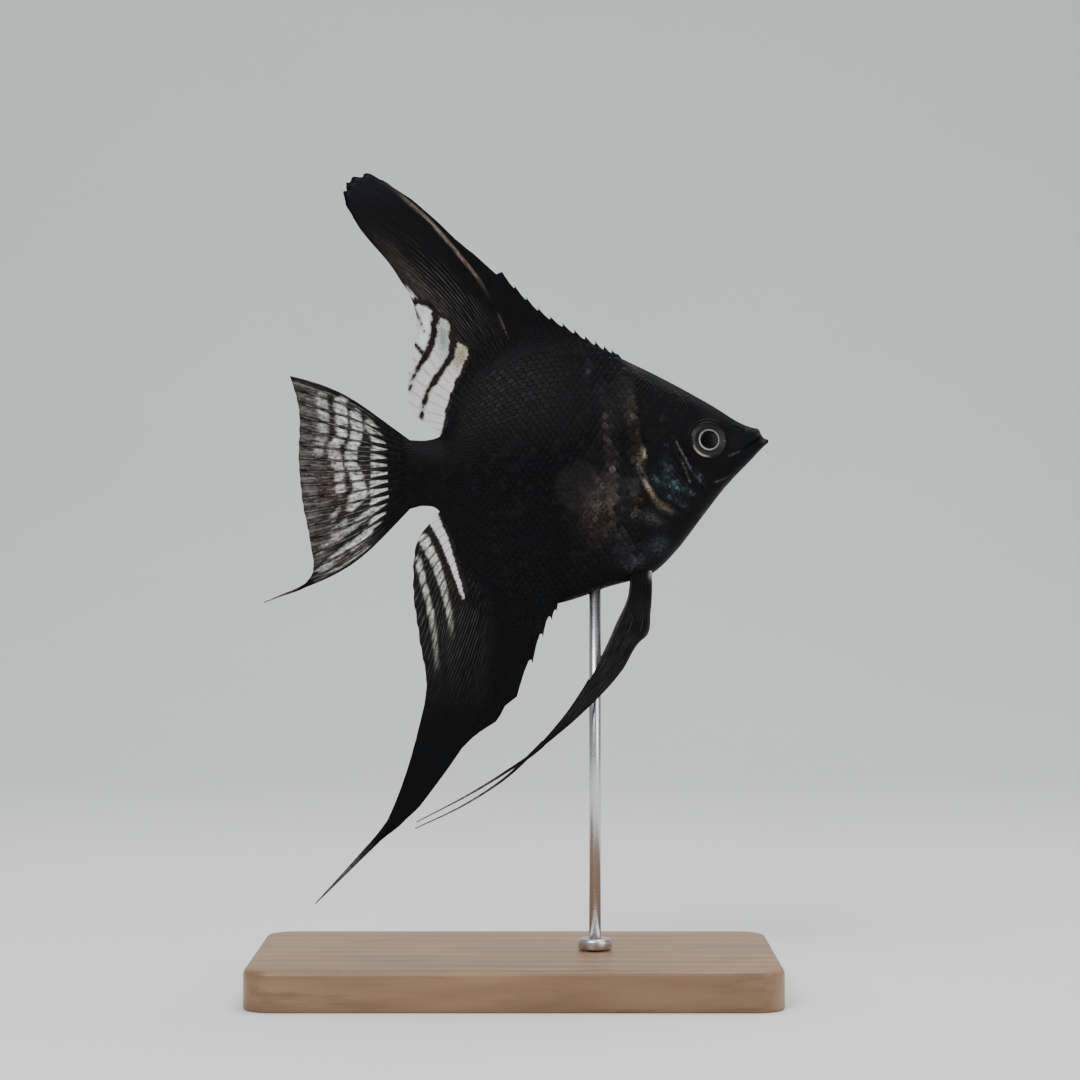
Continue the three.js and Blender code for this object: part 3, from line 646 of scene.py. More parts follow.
# Pale bands and streaks on the fins: points, half width at each end, strength at each end.
TAIL_BANDS = [
    ([(-38.2, 10.4), (-36.8, 7.6), (-36.2, 5), (-36.1, 1), (-36.2, -2), (-36.4, -4.6)],
     0.9, 1.9, 0.6, 1.0),
    ([(-40.9, 12.2), (-40.6, 9.2), (-41.4, 6.4), (-41.7, 2.2), (-40.6, -0.6), (-39.9, -3.2),
      (-42.0, -6.0)], 1.05, 1.2, 0.85, 0.95),
    ([(-43.9, 14.6), (-43.7, 11.6), (-43.9, 8.2), (-45.3, 5.4), (-44.4, 2), (-44.2, -0.8),
      (-44.0, -3.2)], 1.2, 0.9, 0.9, 0.7),
    ([(-47.7, 15.4), (-47.4, 12), (-47.7, 8.2), (-48.2, 4.6)], 1.1, 0.9, 0.55, 0.3),
    ([(-34.9, -4.8), (-38.5, -7.9), (-43.5, -11.6), (-48.2, -15.2)], 0.7, 0.5, 0.9, 0.45),
    ([(-35.8, -7.8), (-37.4, -9.7)], 0.8, 0.8, 0.95, 0.9),
    ([(-38.2, -11.4), (-41.6, -14.4)], 0.9, 0.8, 0.95, 0.8),
    ([(-42.4, -14.5), (-48.4, -19.6)], 0.75, 0.5, 0.75, 0.5),
    ([(-38.5, -14.4), (-43.5, -18.0), (-49.2, -21.4)], 0.3, 0.4, 0.5, 0.65),
    ([(-42.9, -9.4), (-45.4, -11.6)], 0.6, 0.6, 0.6, 0.5),
    ([(-44.8, -7.0), (-45.6, -8.8)], 0.5, 0.5, 0.5, 0.5),
]
ANAL_BANDS = [
    ([(-27.2, -12.9), (-24.7, -18), (-23.3, -22.5), (-22.2, -27.4)], 1.0, 0.45, 1.0, 0.5),
    ([(-28.4, -17), (-27.0, -22.7), (-25.9, -27.3)], 0.55, 0.5, 0.85, 0.55),
    ([(-25.9, -27.3), (-25.0, -33), (-24.6, -38.4)], 0.6, 0.4, 0.5, 0.1),
    ([(-22.2, -27.4), (-21.4, -33)], 0.5, 0.4, 0.4, 0.0),
]
DORSAL_STREAK = [(-13.7, 34.8), (-16.4, 39.4), (-21, 45.1), (-26, 50.9), (-33.5, 57.6), (-39.2, 60.4)]
DORSAL_LOW_STREAK = [(-10.3, 27.3), (-12.2, 31.9)]
DORSAL_WHITE_EDGE = [(-30.9, 37.2), (-28.6, 34.4), (-27.4, 31), (-27.0, 26.8)]


def banded(colour, bands, x, z, where):
    """Lays pale bands over a colour, as far as another value lets them show."""
    for points, wide, narrow, strength, fade in bands:
        away, along = stroke(points, x, z)
        width = between(wide, narrow, along)
        mask = between(strength, fade, along) * ease(width + 0.35, width - 0.3, away)
        colour = tinted(colour, WHITE, where * mask)
    return colour


def fin_colour(x, z, ray, kind):
    """The colours of the tall fins and the tail fin, and how the rays draw on them.

    The last two values say how far the colour keeps off the rays, and how pale the rays are drawn:
    partly their own paler colour, partly a painted glint along them.
    """
    colour = plain(x)
    on_rays = x + 0.42 * stepped(ray, 1)
    tail, anal, dorsal = kind == TAIL_FIN, kind == ANAL_FIN, kind == DORSAL_FIN
    grey = 0.5 * ease(-44.6, -50.5, x) + 0.12 * ease(-35, -39, x)
    colour = tinted(colour, SMOKE, tail * grey)
    colour = tinted(colour, BROWN, tail * 0.5 * ellipse(x, z, -45.2, -1.4, 3.0, 4.2, 0))
    colour = banded(colour, TAIL_BANDS, on_rays, z, tail * (0.84 + 0.16 * stepped(ray, 7)))
    colour = tinted(colour, SMOKE, anal * 0.06 * ease(-17, -23, x) * ease(-52, -30, z))
    colour = banded(colour, ANAL_BANDS, x, z, anal * 1.0)
    streak, along = stroke(DORSAL_STREAK, x, z)
    strength = 0.62 * ease(-0.02, 0.3, along) * ease(1.02, 0.6, along)
    colour = tinted(colour, STREAK_TAN, dorsal * strength * ease(0.5, 0.12, streak))
    low = away_from(DORSAL_LOW_STREAK, x, z)
    colour = tinted(colour, BROWN, dorsal * 0.35 * ease(0.4, 0.1, low))
    rear = ellipse(x, z, -31, 41, 7.5, 1.7, -50) + ellipse(x, z, -26, 31.5, 5, 3.5, -50)
    colour = tinted(colour, REAR_BROWN, dorsal * 0.32 * rear)
    colour = tinted(colour, TIP_BLACK, dorsal * 0.7 * ease(53, 58, z))
    white_edge = away_from(DORSAL_WHITE_EDGE, x, z)
    colour = tinted(colour, WHITE, dorsal * 0.8 * ease(0.9, 0.3, white_edge))
    lower_edge = ease(15.2, 15.6, ray) + ease(0.5, 0.25, ray)
    lower_edge = lower_edge + ease(-44, -50, x) * ease(13.6, 15.2, ray)
    colour[..., 3] *= 1 - tail * np.clip(lower_edge, 0, 1) * 0.9
    off_rays = tail * (1 + ease(-38.6, -34.6, x)) + anal * 0.8
    # How pale the rays are drawn: partly their paler colour, partly a painted glint along them.
    pale = tail * 0.75 * ease(-34, -40, x)
    pale = pale + anal * 0.38 * ease(-12, -17.5, x) * ease(-50, -30, z)
    across = (x + z + 2) / 1.414
    pale = pale + dorsal * 0.5 * ellipse(x, z, -21, 35, 11, 8, -45) * ease(16, 12, across)
    return colour, off_rays, pale


# Where the rear webs of the tall fins are clear, and the dark bars that hang in the upper one.
DORSAL_WINDOW = [
    (-24.0, 7.2), (-22.8, 13), (-21, 18.4), (-18.5, 23.6), (-18.6, 25.4), (-20.6, 26.6), (-22.6, 30.9),
    (-24.6, 31.6), (-26.4, 33.6), (-28.4, 34.4), (-36, 30), (-36, 12), (-28, 6),
]
# Each bar's course and its half width at either end.
DORSAL_BARS = [
    ([(-24.9, 32), (-25.3, 28), (-26, 25.5), (-28.1, 21.9), (-29.6, 19.1), (-30.1, 16.9)], 0.72, 0.26),
    ([(-21.2, 30), (-21.4, 27), (-21.7, 23.9), (-24.2, 20.1), (-26.4, 16.9), (-27.4, 13.7),
      (-27.8, 11.2)], 0.78, 0.3),
    ([(-29.3, 26.5), (-28, 25), (-26.6, 23.6)], 0.16, 0.4),
    ([(-30.9, 36.9), (-28.4, 31.7), (-27.1, 28.6)], 0.24, 0.1),
]
BAR_BREAKS = 44.0  # how fast a bar breaks up into spots towards its lower end
# The same as the patches on the flank.
WINDOW_PATCHES = [
    (-27.1, 28.8, 0.8, 3.4, -8, MILK, 0.9), (-23.4, 27.6, 1.1, 3.4, 0, GREEN_MILK, 0.75),
    (-19.9, 23.8, 1.2, 2.6, -18, YELLOW_MILK, 0.95),
]
ANAL_STRIP = [
    (-26.2, -6.4), (-25.0, -9.4), (-23.2, -13.0), (-21.8, -17.0), (-20.0, -22.3), (-19.4, -24.5),
]


def inside(outline, x, z):
    """Distance from an outline, positive inside it."""
    loop = outline + outline[:1]
    away = away_from(loop, x, z)
    odd = np.zeros(np.shape(x), bool)
    for (ax, az), (bx, bz) in zip(loop[:-1], loop[1:]):
        crosses = (az > z) != (bz > z)
        at = ax + (z - az) / np.where(bz == az, 1e-9, bz - az) * (bx - ax)
        odd ^= crosses & (x < at)
    return np.where(odd, away, -away)


def clearness(x, z, kind, ray=0.0):
    """How far (mm) a place lies inside the clear part of a fin's web."""
    window = inside(DORSAL_WINDOW, x, z) + 0.2 * stepped(ray, 2)
    for number, (bar, wide, narrow) in enumerate(DORSAL_BARS):
        away, along = stroke(bar, x, z)
        half = between(wide, narrow, along) * (1 + 0.3 * stepped(ray, 3 + number))
        half = half - 0.5 * ease(0.62, 1, along) * ease(-0.3, 0.7, np.sin(BAR_BREAKS * along))
        window = np.minimum(window, away - half)
    strip, along = stroke(ANAL_STRIP, x, z)
    clear = np.where(kind == DORSAL_FIN, window, -9.0)
    return np.where(kind == ANAL_FIN, between(1.3, 0.35, along) - strip, clear)


def window_colour(x, z, kind):
    """What is left of colour in the clear webs: milky patches, and pale fringes along the bars."""
    colour = plain(x)
    dorsal = (kind == DORSAL_FIN) * 1.0
    for *where, toward, strength in WINDOW_PATCHES:
        colour = tinted(colour, toward, dorsal * strength * ellipse(x, z, *where))
    for bar, wide, narrow in DORSAL_BARS:
        away, along = stroke(bar, x, z)
        off_bar = away - between(wide, narrow, along)
        colour = tinted(colour, FRINGE, dorsal * 0.5 * ease(0.5, 0.15, off_bar))
    return colour


# ------------------------------------------------------------------ materials
class Material:
    """A node material around one Principled shader. Its methods return sockets to build on."""

    def __init__(self, name, **values):
        self.made = bpy.data.materials.new(name)
        self.made.use_nodes = True
        self.tree = self.made.node_tree
        self.shader = self.tree.nodes["Principled BSDF"]
        self.set(self.shader, values)

    def set(self, node, inputs):
        for socket, value in inputs.items():
            socket = node.inputs[socket]
            if isinstance(value, bpy.types.NodeSocket):
                self.tree.links.new(value, socket)
            else:
                socket.default_value = (*value, 1) if socket.type == "RGBA" else value

    def node(self, kind, inputs=None, **properties):
        made = self.tree.nodes.new("ShaderNode" + kind)
        for key, value in properties.items():
            setattr(made, key, value)
        self.set(made, inputs or {})
        return made

    def place(self, stretch=(1, 1, 1)):
        where = self.node("TexCoord").outputs["Object"]
        return self.node("Mapping", {"Vector": where, "Scale": stretch}).outputs[0]

    def noise(self, scale, detail=3.0, roughness=0.5, stretch=(1, 1, 1)):
        return self.node("TexNoise", {
            "Vector": self.place(stretch), "Scale": scale, "Detail": detail, "Roughness": roughness,
        }).outputs[0]

    def attribute(self, name, output="Fac"):
        return self.node("Attribute", attribute_name=name).outputs[output]

    def remap(self, value, from_low, from_high, to_low, to_high):
        inputs = {0: value, 1: from_low, 2: from_high, 3: to_low, 4: to_high}
        return self.node("MapRange", inputs).outputs[0]

    def math(self, operation, a, b=0.0):
        return self.node("Math", {0: a, 1: b}, operation=operation).outputs[0]

    def times(self, a, b):
        return self.math("MULTIPLY", a, b)

    def plus(self, a, b):
        return self.math("ADD", a, b)

    def minus(self, a, b):
        return self.math("SUBTRACT", a, b)

    def least(self, a, b):
        return self.math("MINIMUM", a, b)

    def most(self, a, b):
        return self.math("MAXIMUM", a, b)

    def clamped(self, value):
        return self.most(self.least(value, 1.0), 0.0)

    def mix(self, amount, a, b):
        return self.node("Mix", {0: amount, 6: a, 7: b}, data_type="RGBA").outputs[2]

    def bump(self, height, strength, distance):
        inputs = {"Height": height, "Strength": strength, "Distance": distance}
        self.set(self.shader, {"Normal": self.node("Bump", inputs).outputs[0]})

    def finish(self, colour, **others):
        self.set(self.shader, {"Base Color": colour, **others})
        return self.made


def coloured(made, faint=0.12):
    """The black of the fish with its tint laid over it in a fine grain, down to a faint share of it."""
    speckle = made.noise(1700, 5, 0.75)
    blotch = made.noise(420, 3)
    ground = made.mix(made.remap(blotch, 0.35, 0.65, 0, 1), BLACK, BLUE_BLACK)
    amount = made.times(made.attribute("amount"), made.remap(speckle, 0.4, 0.6, faint, 1.25))
    return ground, made.least(amount, 1.0), blotch


def ray_lines(made):
    """How far a place lies from the nearest fin ray and from the nearest branch of one, both in
    spacings of the rays, and streaks along the rays."""
    ray = made.attribute("ray")

    def away(count):
        number = made.plus(made.times(ray, count), 0.5)
        off = made.minus(made.math("FRACT", number), 0.5)
        return made.times(made.math("ABSOLUTE", off), 1 / count)

    along = made.times(made.attribute("rise"), 9.0)
    place = made.node("CombineXYZ", {0: made.times(ray, 4.0), 1: along}).outputs[0]
    streaks = made.node("TexNoise", {"Vector": place, "Scale": 1.0, "Detail": 4.0, "Roughness": 0.65})
    return away(1.0), away(2.0), streaks.outputs[0]


def skin_material():
    made = Material("wet_skin", **{"Specular IOR Level": 0.06})
    ground, amount, blotch = coloured(made, made.remap(made.attribute("fin"), 0.0, 1.0, 0.12, 0.6))
    near, branch, streaks = ray_lines(made)
    off_rays = made.attribute("off_rays")
    wedge = made.times(made.most(made.minus(off_rays, 1.0), 0.0), 0.22)
    keep_off = made.remap(made.minus(near, wedge), 0.06, 0.2, 1.0, 0.0)
    keep_off = made.times(keep_off, made.least(off_rays, 1.0))
    streaked = made.times(made.attribute("fin"), made.remap(streaks, 0.33, 0.67, -0.95, 0.7))
    amount = made.times(amount, made.plus(1.0, streaked))
    amount = made.times(amount, made.minus(1.0, keep_off))
    colour = made.mix(made.clamped(amount), ground, made.attribute("tint", "Color"))
    # Pale lines along the rays: partly their paler colour, partly a painted glint.
    line = made.times(made.remap(branch, 0.03, 0.09, 1.0, 0.0), made.attribute("pale"))
    line = made.times(line, made.remap(streaks, 0.4, 0.65, 0.0, 1.0))
    colour = made.mix(line, colour, PALE_RAY_GLINT)
    made.bump(made.noise(5200, 4, 0.6), 0.35, 0.00006)
    return made.finish(colour, Roughness=made.remap(blotch, 0.3, 0.7, 0.38, 0.54))


def clear_material():
    """Clear web between the rays, with what is dark or milky in it."""
    made = Material("clear_web", **{"Specular IOR Level": 0.08})
    ground, amount, blotch = coloured(made, 0.5)
    near, _, streaks = ray_lines(made)
    ragged_edge = made.times(made.minus(made.noise(1800, 5, 0.8), 0.5), 1.7)
    clear = made.remap(made.plus(made.attribute("clear"), ragged_edge), -0.1, 0.2, 0.0, 1.0)
    milk = made.clamped(amount)
    # Pale lines along the rays in the clear webs: partly their paler colour, partly a painted glint.
    line = made.remap(streaks, 0.3, 0.6, 0.2, 1.0)
    line = made.times(line, made.remap(near, 0.04, 0.14, 0.4, 0.0))
    line = made.times(line, made.attribute("pale"))
    film = made.plus(made.most(milk, line), 0.007)
    milky = made.least(made.times(milk, 4.0), 1.0)
    pale = made.mix(milky, PALE_FILM, made.attribute("tint", "Color"))
    dark = made.mix(made.remap(streaks, 0.4, 0.62, 0.0, 1.0), ground, DARK_WEB)
    colour = made.mix(clear, dark, pale)
    solid = made.minus(1.0, made.times(clear, made.minus(1.0, film)))
    rough = made.remap(blotch, 0.3, 0.7, 0.32, 0.46)
    return made.finish(colour, Alpha=made.least(solid, 1.0), Roughness=rough)


def scale_material():
    """The skin's own colours under a thin glossy plate, each scale a little different."""
    made = Material("scales", **{"Specular IOR Level": 0.068})
    seed = made.attribute("seed")
    ground, amount, _ = coloured(made)
    # A random quarter of the scales, the rougher ones, turn lighter grey: a painted sheen.
    ground = made.mix(made.remap(seed, 0.75, 1.0, 0, 0.5), ground, DULL_SCALE_SHEEN)
    colour = made.mix(amount, ground, made.attribute("tint", "Color"))
    rings = made.math("SINE", made.times(made.attribute("back_way"), 60.0))
    made.bump(made.plus(made.times(rings, 0.3), made.noise(5200, 3)), 0.25, 0.00003)
    return made.finish(colour, Roughness=made.remap(seed, 0, 1, 0.34, 0.52))


def eye_material():
    made = Material("eye", **{"Roughness": 0.3, "Specular IOR Level": 0.07, "Coat Weight": 0.06,
                              "Coat Roughness": 0.03})
    radius = made.attribute("radius")
    angle = made.attribute("angle")
    fibres = made.noise(1900, 4, 0.7)
    clouds = made.noise(520, 3)

    def towards(heading, narrow):
        """1 on one side of the eye, falling to 0 round it."""
        turned_by = made.math("COSINE", made.minus(angle, heading))
        return made.remap(turned_by, narrow, 1, 0, 1)

    def ring(middle, core, wide):
        off = made.math("ABSOLUTE", made.minus(radius, middle))
        return made.remap(off, core, wide, 1, 0)

    iris = made.mix(made.remap(clouds, 0.35, 0.65, 0, 1), IRIS, IRIS_CLOUD)
    iris = made.mix(made.remap(fibres, 0.48, 0.75, 0, 0.5), iris, IRIS_FIBRE)
    warm = made.times(towards(3.6, 0.2), made.remap(radius, 2.4, 3.2, 0, 1))
    iris = made.mix(made.times(warm, 0.4), iris, IRIS_WARM)
    arc = made.times(towards(3.3, 0.1), ring(3.05, 0.03, 0.14))
    iris = made.mix(made.times(arc, 0.5), iris, IRIS_ARC)
    iris = made.mix(made.remap(radius, 3.1, 3.6, 0, 1), iris, IRIS_EDGE)
    crescent = made.times(towards(4.1, 0.76), ring(3.3, 0.03, 0.26))
    crescent = made.times(crescent, made.remap(fibres, 0.35, 0.6, 0.5, 1))
    iris = made.mix(made.times(crescent, 0.85), iris, CRESCENT)
    bright = ring((PUPIL_RADIUS + RING_RADIUS) / 2, 0.02, 0.19)
    bright = made.times(bright, made.remap(fibres, 0.3, 0.6, 0.7, 1))
    shine = made.mix(towards(3.9, -0.4), RING_SHADE, RING_SHINE)
    colour = made.mix(bright, iris, shine)
    pupil = made.remap(radius, PUPIL_RADIUS - 0.08, PUPIL_RADIUS + 0.04, 1, 0)
    made.bump(fibres, 0.1, 0.00004)
    return made.finish(made.mix(pupil, colour, PUPIL))


def wood_material():
    made = Material("oiled_wood", **{"Specular IOR Level": 0.35, "Coat Weight": 0.08,
                                     "Coat Roughness": 0.3})
    grain = made.noise(26, 6, 0.6, (1.2, 9, 9))
    pores = made.noise(420, 3, 0.6, (0.1, 1, 1))
    rings = made.node("TexWave", {"Vector": made.place((0.6, 7, 5)), "Scale": 7.0, "Distortion": 6.0,
                                  "Detail": 3.0, "Detail Scale": 1.4}, bands_direction="Y").outputs[1]
    colour = made.mix(made.remap(grain, 0.3, 0.7, 0, 1), OAK, PALE_OAK)
    colour = made.mix(made.times(rings, 0.45), colour, OAK_RING)
    colour = made.mix(made.remap(pores, 0.55, 0.75, 0, 0.55), colour, OAK_PORE)
    made.bump(pores, 0.25, 0.00012)
    return made.finish(colour, Roughness=made.remap(grain, 0.2, 0.8, 0.34, 0.5))


def steel_material():
    made = Material("brushed_steel", **{"Metallic": 1.0})
    lines = made.noise(900, 3, 0.7, (0.05, 0.05, 14))
    made.bump(lines, 0.15, 0.00004)
    colour = made.mix(made.noise(60, 2), DULL_METAL, METAL)
    return made.finish(colour, Roughness=made.remap(lines, 0.2, 0.8, 0.2, 0.4))


def studio_material():
    made = Material("pale_backdrop", **{"Specular IOR Level": 0.1})
    paper = made.noise(9, 3)
    colour = made.mix(paper, PAPER, PALE_PAPER)
    return made.finish(colour, Roughness=made.remap(paper, 0, 1, 0.85, 0.95))


# ------------------------------------------------------------------ pieces
# Of these, pale says how pale the rays are drawn: partly their paler colour, partly a painted glint.
FIN_FACTS = ("ray", "rise", "fin", "off_rays", "pale", "clear")


def tint_values(tint):
    """A piece's colour attribute and how much of it shows."""
    colour = np.concatenate([tint[:, :3], np.ones((len(tint), 1))], -1)
    return {"tint": colour, "amount": tint[:, 3]}


class Shell:
    """Several meshes gathered into one piece."""

    def __init__(self):
        self.points, self.faces, self.tints, self.facts = [], [], [], []
        self.count = 0

    def add(self, points, faces, tint, **facts):
        self.faces += [[v + self.count for v in face] for face in faces]
        self.points.append(points)
        self.tints.append(tint)
        nothing = np.zeros(len(points))
        self.facts.append({name: nothing + facts.get(name, 0.0) for name in FIN_FACTS})
        self.count += len(points)

    def add_plate(self, x, y, z, half, tint, **facts):
        """Adds a plate over a grid of places, with each fact spread over both its faces."""
        points, faces = strip_plate(placed(x, y, z), half)
        facts = {name: np.tile((value + 0 * x).ravel(), 2) for name, value in facts.items()}
        self.add(points, faces, np.concatenate([tint.reshape(-1, 4)] * 2), **facts)

    def make(self, name):
        values = tint_values(np.concatenate(self.tints))
        for fact in FIN_FACTS:
            values[fact] = np.concatenate([facts[fact] for facts in self.facts])
        return mesh_object(name, np.concatenate(self.points), self.faces, values)


def main_skin(skin, windows):
    """The body and the tall fins as one skin, with their clear webs apart from it."""
    dorsal, anal, tail = fin_patch(DORSAL), fin_patch(ANAL), tail_patch()
    body = body_patch(dorsal, anal)
    turned_round = {name: value[:, ::-1] for name, value in anal.items()}
    values, quads = weld([dorsal, turned_round, tail, body])
    values["clear"] = clearness(values["x"], values["z"], values["kind"], values["ray"])
    seen_through = values["clear"][quads].max(axis=1) > -0.75
    seen_through &= values["fin"][quads].min(axis=1) > 0
    points, faces, both = two_sided(values, quads[~seen_through])
    on_fin = both["fin"]
    body_tint = body_colour(both["x"], both["z"])
    fin_tint, off_rays, pale = fin_colour(both["x"], both["z"], both["ray"], both["kind"])
    tint = between(body_tint, fin_tint, on_fin[:, None])
    skin.add(points, faces, tint, ray=both["ray"], rise=both["rise"], fin=on_fin,
             off_rays=off_rays * on_fin, pale=pale * on_fin)
    points, faces, both = two_sided(values, quads[seen_through])
    windows.add(points, faces, window_colour(both["x"], both["z"], both["kind"]),
                ray=both["ray"], rise=both["rise"], fin=1.0, clear=both["clear"], pale=1.0)
    return dorsal, anal, tail


PELVIC_FRONT = line([
    (18.4, -17), (18.1, -27), (17.1, -32.3), (16.1, -33.1), (12.4, -38.9), (3.9, -47.9), (-4.6, -55),
])
PELVIC_REAR = line([
    (14.2, -18), (13.6, -24.4), (10.9, -30.6), (9.9, -33), (6.4, -39.8), (1.9, -46.9), (-5.1, -55.4),
])
PELVIC_THREADS = {
    -1: line([(-3.3, -53.6), (-5.2, -55.2), (-10.2, -58.6), (-16, -62.2), (-28.4, -68.8)]),
    1: line([(-3.3, -53.6), (-5.4, -55.7), (-10, -60.1), (-19, -66.2), (-29.2, -71.2)]),
}
ANAL_THREAD = line([(-33.4, -69.0), (-36.6, -72.9), (-38.8, -75.2), (-43.4, -80), (-49, -85.8)])
TAIL_THREAD = line([(-49.6, -21.2), (-52.4, -22.8), (-55.6, -24.0), (-59.6, -25.6)])
# How wide each kind of thread is at its two ends, and how far the pelvic ones stand apart.
PELVIC_WIDE, ANAL_WIDE, TAIL_WIDE = (0.7, 0.2), (1.7, 0.2), (0.85, 0.16)
PELVIC_APART = (4.5, 5.8)


def pelvic_fin(shell, side):
    """A long narrow fin of six rays that hangs back from the belly, on one side of the body."""
    along = np.linspace(0, 1, 61)
    across = np.linspace(0, 1, 31)
    front, rear = PELVIC_FRONT(along), PELVIC_REAR(along)
    place = front[:, None] + (rear - front)[:, None] * across[None, :, None]
    y = side * (between(1.2, 4.6, along)[:, None] + 0.5 * across * (1 - along[:, None]))
    rib = on_ray(PELVIC_RAYS * across) ** 2
    thick = between(0.62, 0.16, ease(0, 0.55, along))[:, None] + 0.13 * rib
    round_edge = np.sqrt(np.clip(1 - (2 * across - 1) ** 4, 0, 1)) * 0.9 + 0.1
    x, z = place[..., 0], place[..., 1]
    rim = ease(0.07, 0.0, np.minimum(across, 1 - across)) * ease(0.03, 0.12, along)[:, None]
    colour = tinted(plain(x), SMOKE, 0.55 * rim * ease(0.6, 0.35, along)[:, None])
    colour = tinted(colour, WHITE, 0.7 * ellipse(x, z, 18.3, -19.6, 0.5, 1.0, 0))
    # The pale value draws the rays paler: partly their colour, partly a painted glint.
    shell.add_plate(x, y, z, thick * round_edge, colour, fin=1.0, ray=PELVIC_RAYS * across[None, :],
                    rise=along[:, None], pale=0.3 * ease(0.1, 0.3, along)[:, None])


def pectoral_fin(windows, side):
    """A clear fan of twelve rays behind the gill cover, held a little off the flank."""
    share = np.linspace(0, 1, PECTORAL_RAYS * RAY_COLUMNS + 1)
    along = np.linspace(0, 1, 25)
    angle = np.radians(180 - between(*PECTORAL_SPREAD, share))
    reach = smooth([(0, 13), (0.35, 17.2), (0.7, 15.2), (1, 10.4)])(share)
    near = on_ray(PECTORAL_RAYS * share)
    reach = reach - 0.3 * (1 - near)
    root_x, root_z = PECTORAL_ROOT[0] + 0.4, PECTORAL_ROOT[1] + between(1.7, -1.7, share)
    bend = 1.6 * np.sin(np.pi * along)[None, :] * (share - 0.5)[:, None]
    run = reach[:, None] * along[None, :]
    x = root_x + run * np.cos(angle)[:, None]
    z = root_z[:, None] + run * np.sin(angle)[:, None] + bend
    stand_off = half_at(root_x, PECTORAL_ROOT[1]) + 0.12
    y = side * (stand_off + math.tan(math.radians(PECTORAL_OUT)) * run)
    half = 0.05 + 0.13 * near[:, None] * between(1, 0.3, along)[None, :]
    colour = tinted(plain(x), SMOKE, 0.05 * ease(0.16, 0.0, along)[None, :] + 0 * x)
    # The pale value draws the rays paler: partly their colour, partly a painted glint.
    windows.add_plate(x, y, z, half, colour, fin=1.0, clear=3.0, ray=share[:, None] * PECTORAL_RAYS,
                      rise=along[None, :], pale=between(0.13, 0.05, along[None, :]))


def thread(shell, course, wide, y_from, y_to):
    """A thread that trails from a fin, as wide as given at its two ends, paler towards its tip."""
    along = np.linspace(0, 1, 41)
    across = np.linspace(-1, 1, 7)
    centre = course(along)
    step = course(np.minimum(along + 0.01, 1)) - course(np.maximum(along - 0.01, 0))
    step /= np.linalg.norm(step, axis=1)[:, None]
    normal = np.stack([-step[:, 1], step[:, 0]], -1)
    half = between(wide[0], wide[1], along)[:, None] / 2
    place = centre[:, None] + normal[:, None] * (half * across)[..., None]
    thick = np.minimum(half, 0.3) * np.sqrt(1.02 - across**2)
    y = between(y_from, y_to, along)[:, None] + 0 * across
    x, z = place[..., 0], place[..., 1]
    shell.add_plate(x, y, z, thick, tinted(plain(x), SMOKE, ease(0.2, 0.7, along)[:, None] + 0 * x))


# ------------------------------------------------------------------ scales
SCALE_LENGTH, SCALE_WIDTH = 2.1, 1.95
PITCH, ROW = 1.36, 1.08  # along a row of scales, and from row to row
SMALL = 0.6  # the size of the head's scales beside the flank's
BASE_PITCH, BASE_ROW = 0.58, 0.7  # along a row and from row to row on the bases of the fins
TAIL_CROWD = 0.56  # how close the scales lie on the tail stalk, beside the flank's
NAPE_SPAN = (9, 22)  # heights between which the nape's small scales reach further and further back
TUCK = 0.012  # how far a scale's root lies inside the skin
PLATE_DEEP = 0.42  # how deep its sides are, beside how far it lifts
NAPE_Z, NAPE_FRONT_X = 9.2, 31  # above this the head's scales are the nape's; none lie further forwards
EYE_CLEAR, CREASE_CLEAR, JAW_CLEAR, LINE_CLEAR = 5.6, 0.55, 1.4, 0.34  # what they keep clear of
HALF_SHARES = 120  # steps from the middle of the flank to either rim
TABLE_X, TABLE_COLUMNS = (-31, 40), 285  # how far the tables of the flank reach, and their steps
TABLE_UP, TABLE_ROWS = 34, 681
FINE, FIN_REACH = 10, 12  # steps to a millimetre of a fin, and how far up it they go
SURFACE_STEP = 0.12  # between the places that give a surface its slope
SCALE_TURN = 7  # degrees between the scales that are turned most, one each way
FLAT_HALF = 45  # half of the side of the square that holds the flank laid flat
BAKE_SPOT = 0.003  # the size of one scale's patch on its map


def flank_tables():
    """What share of the flank's height lies at each arc length from its middle, and the reverse."""
    xs = np.linspace(*TABLE_X, TABLE_COLUMNS)
    shares = np.sin(np.linspace(-np.pi / 2, np.pi / 2, 2 * HALF_SHARES + 1))
    x, share = np.meshgrid(xs, shares, indexing="ij")
    half = body_half(x, share)
    run = np.hypot(np.diff(up_at(x, share), axis=1), np.diff(half, axis=1))
    run = np.concatenate([np.zeros((len(xs), 1)), np.cumsum(run, axis=1)], axis=1)
    run -= run[:, HALF_SHARES : HALF_SHARES + 1]
    heights = np.linspace(-TABLE_UP, TABLE_UP, TABLE_ROWS)
    table = np.stack([np.interp(heights, run[i], shares) for i in range(len(xs))])
    return xs, heights, table, run


XS, HEIGHTS, SHARES, ARCS = flank_tables()


def sample(grid, rows, columns):
    """A grid read between its places; it may hold several values at each."""
    rows = np.clip(rows, 0, grid.shape[0] - 1.001)
    columns = np.clip(columns, 0, grid.shape[1] - 1.001)
    i, j = rows.astype(int), columns.astype(int)
    u, v = rows - i, columns - j
    if grid.ndim > 2:
        u, v = u[..., None], v[..., None]
    low = grid[i, j] * (1 - v) + grid[i, j + 1] * v
    return low * (1 - u) + (grid[i + 1, j] * (1 - v) + grid[i + 1, j + 1] * v) * u


def crowd(x):
    """How much closer the rows and scales lie towards the tail."""
    return between(TAIL_CROWD, 1, ease(-27, -3, x))


def column_at(x):
    return (x - XS[0]) / (XS[1] - XS[0])


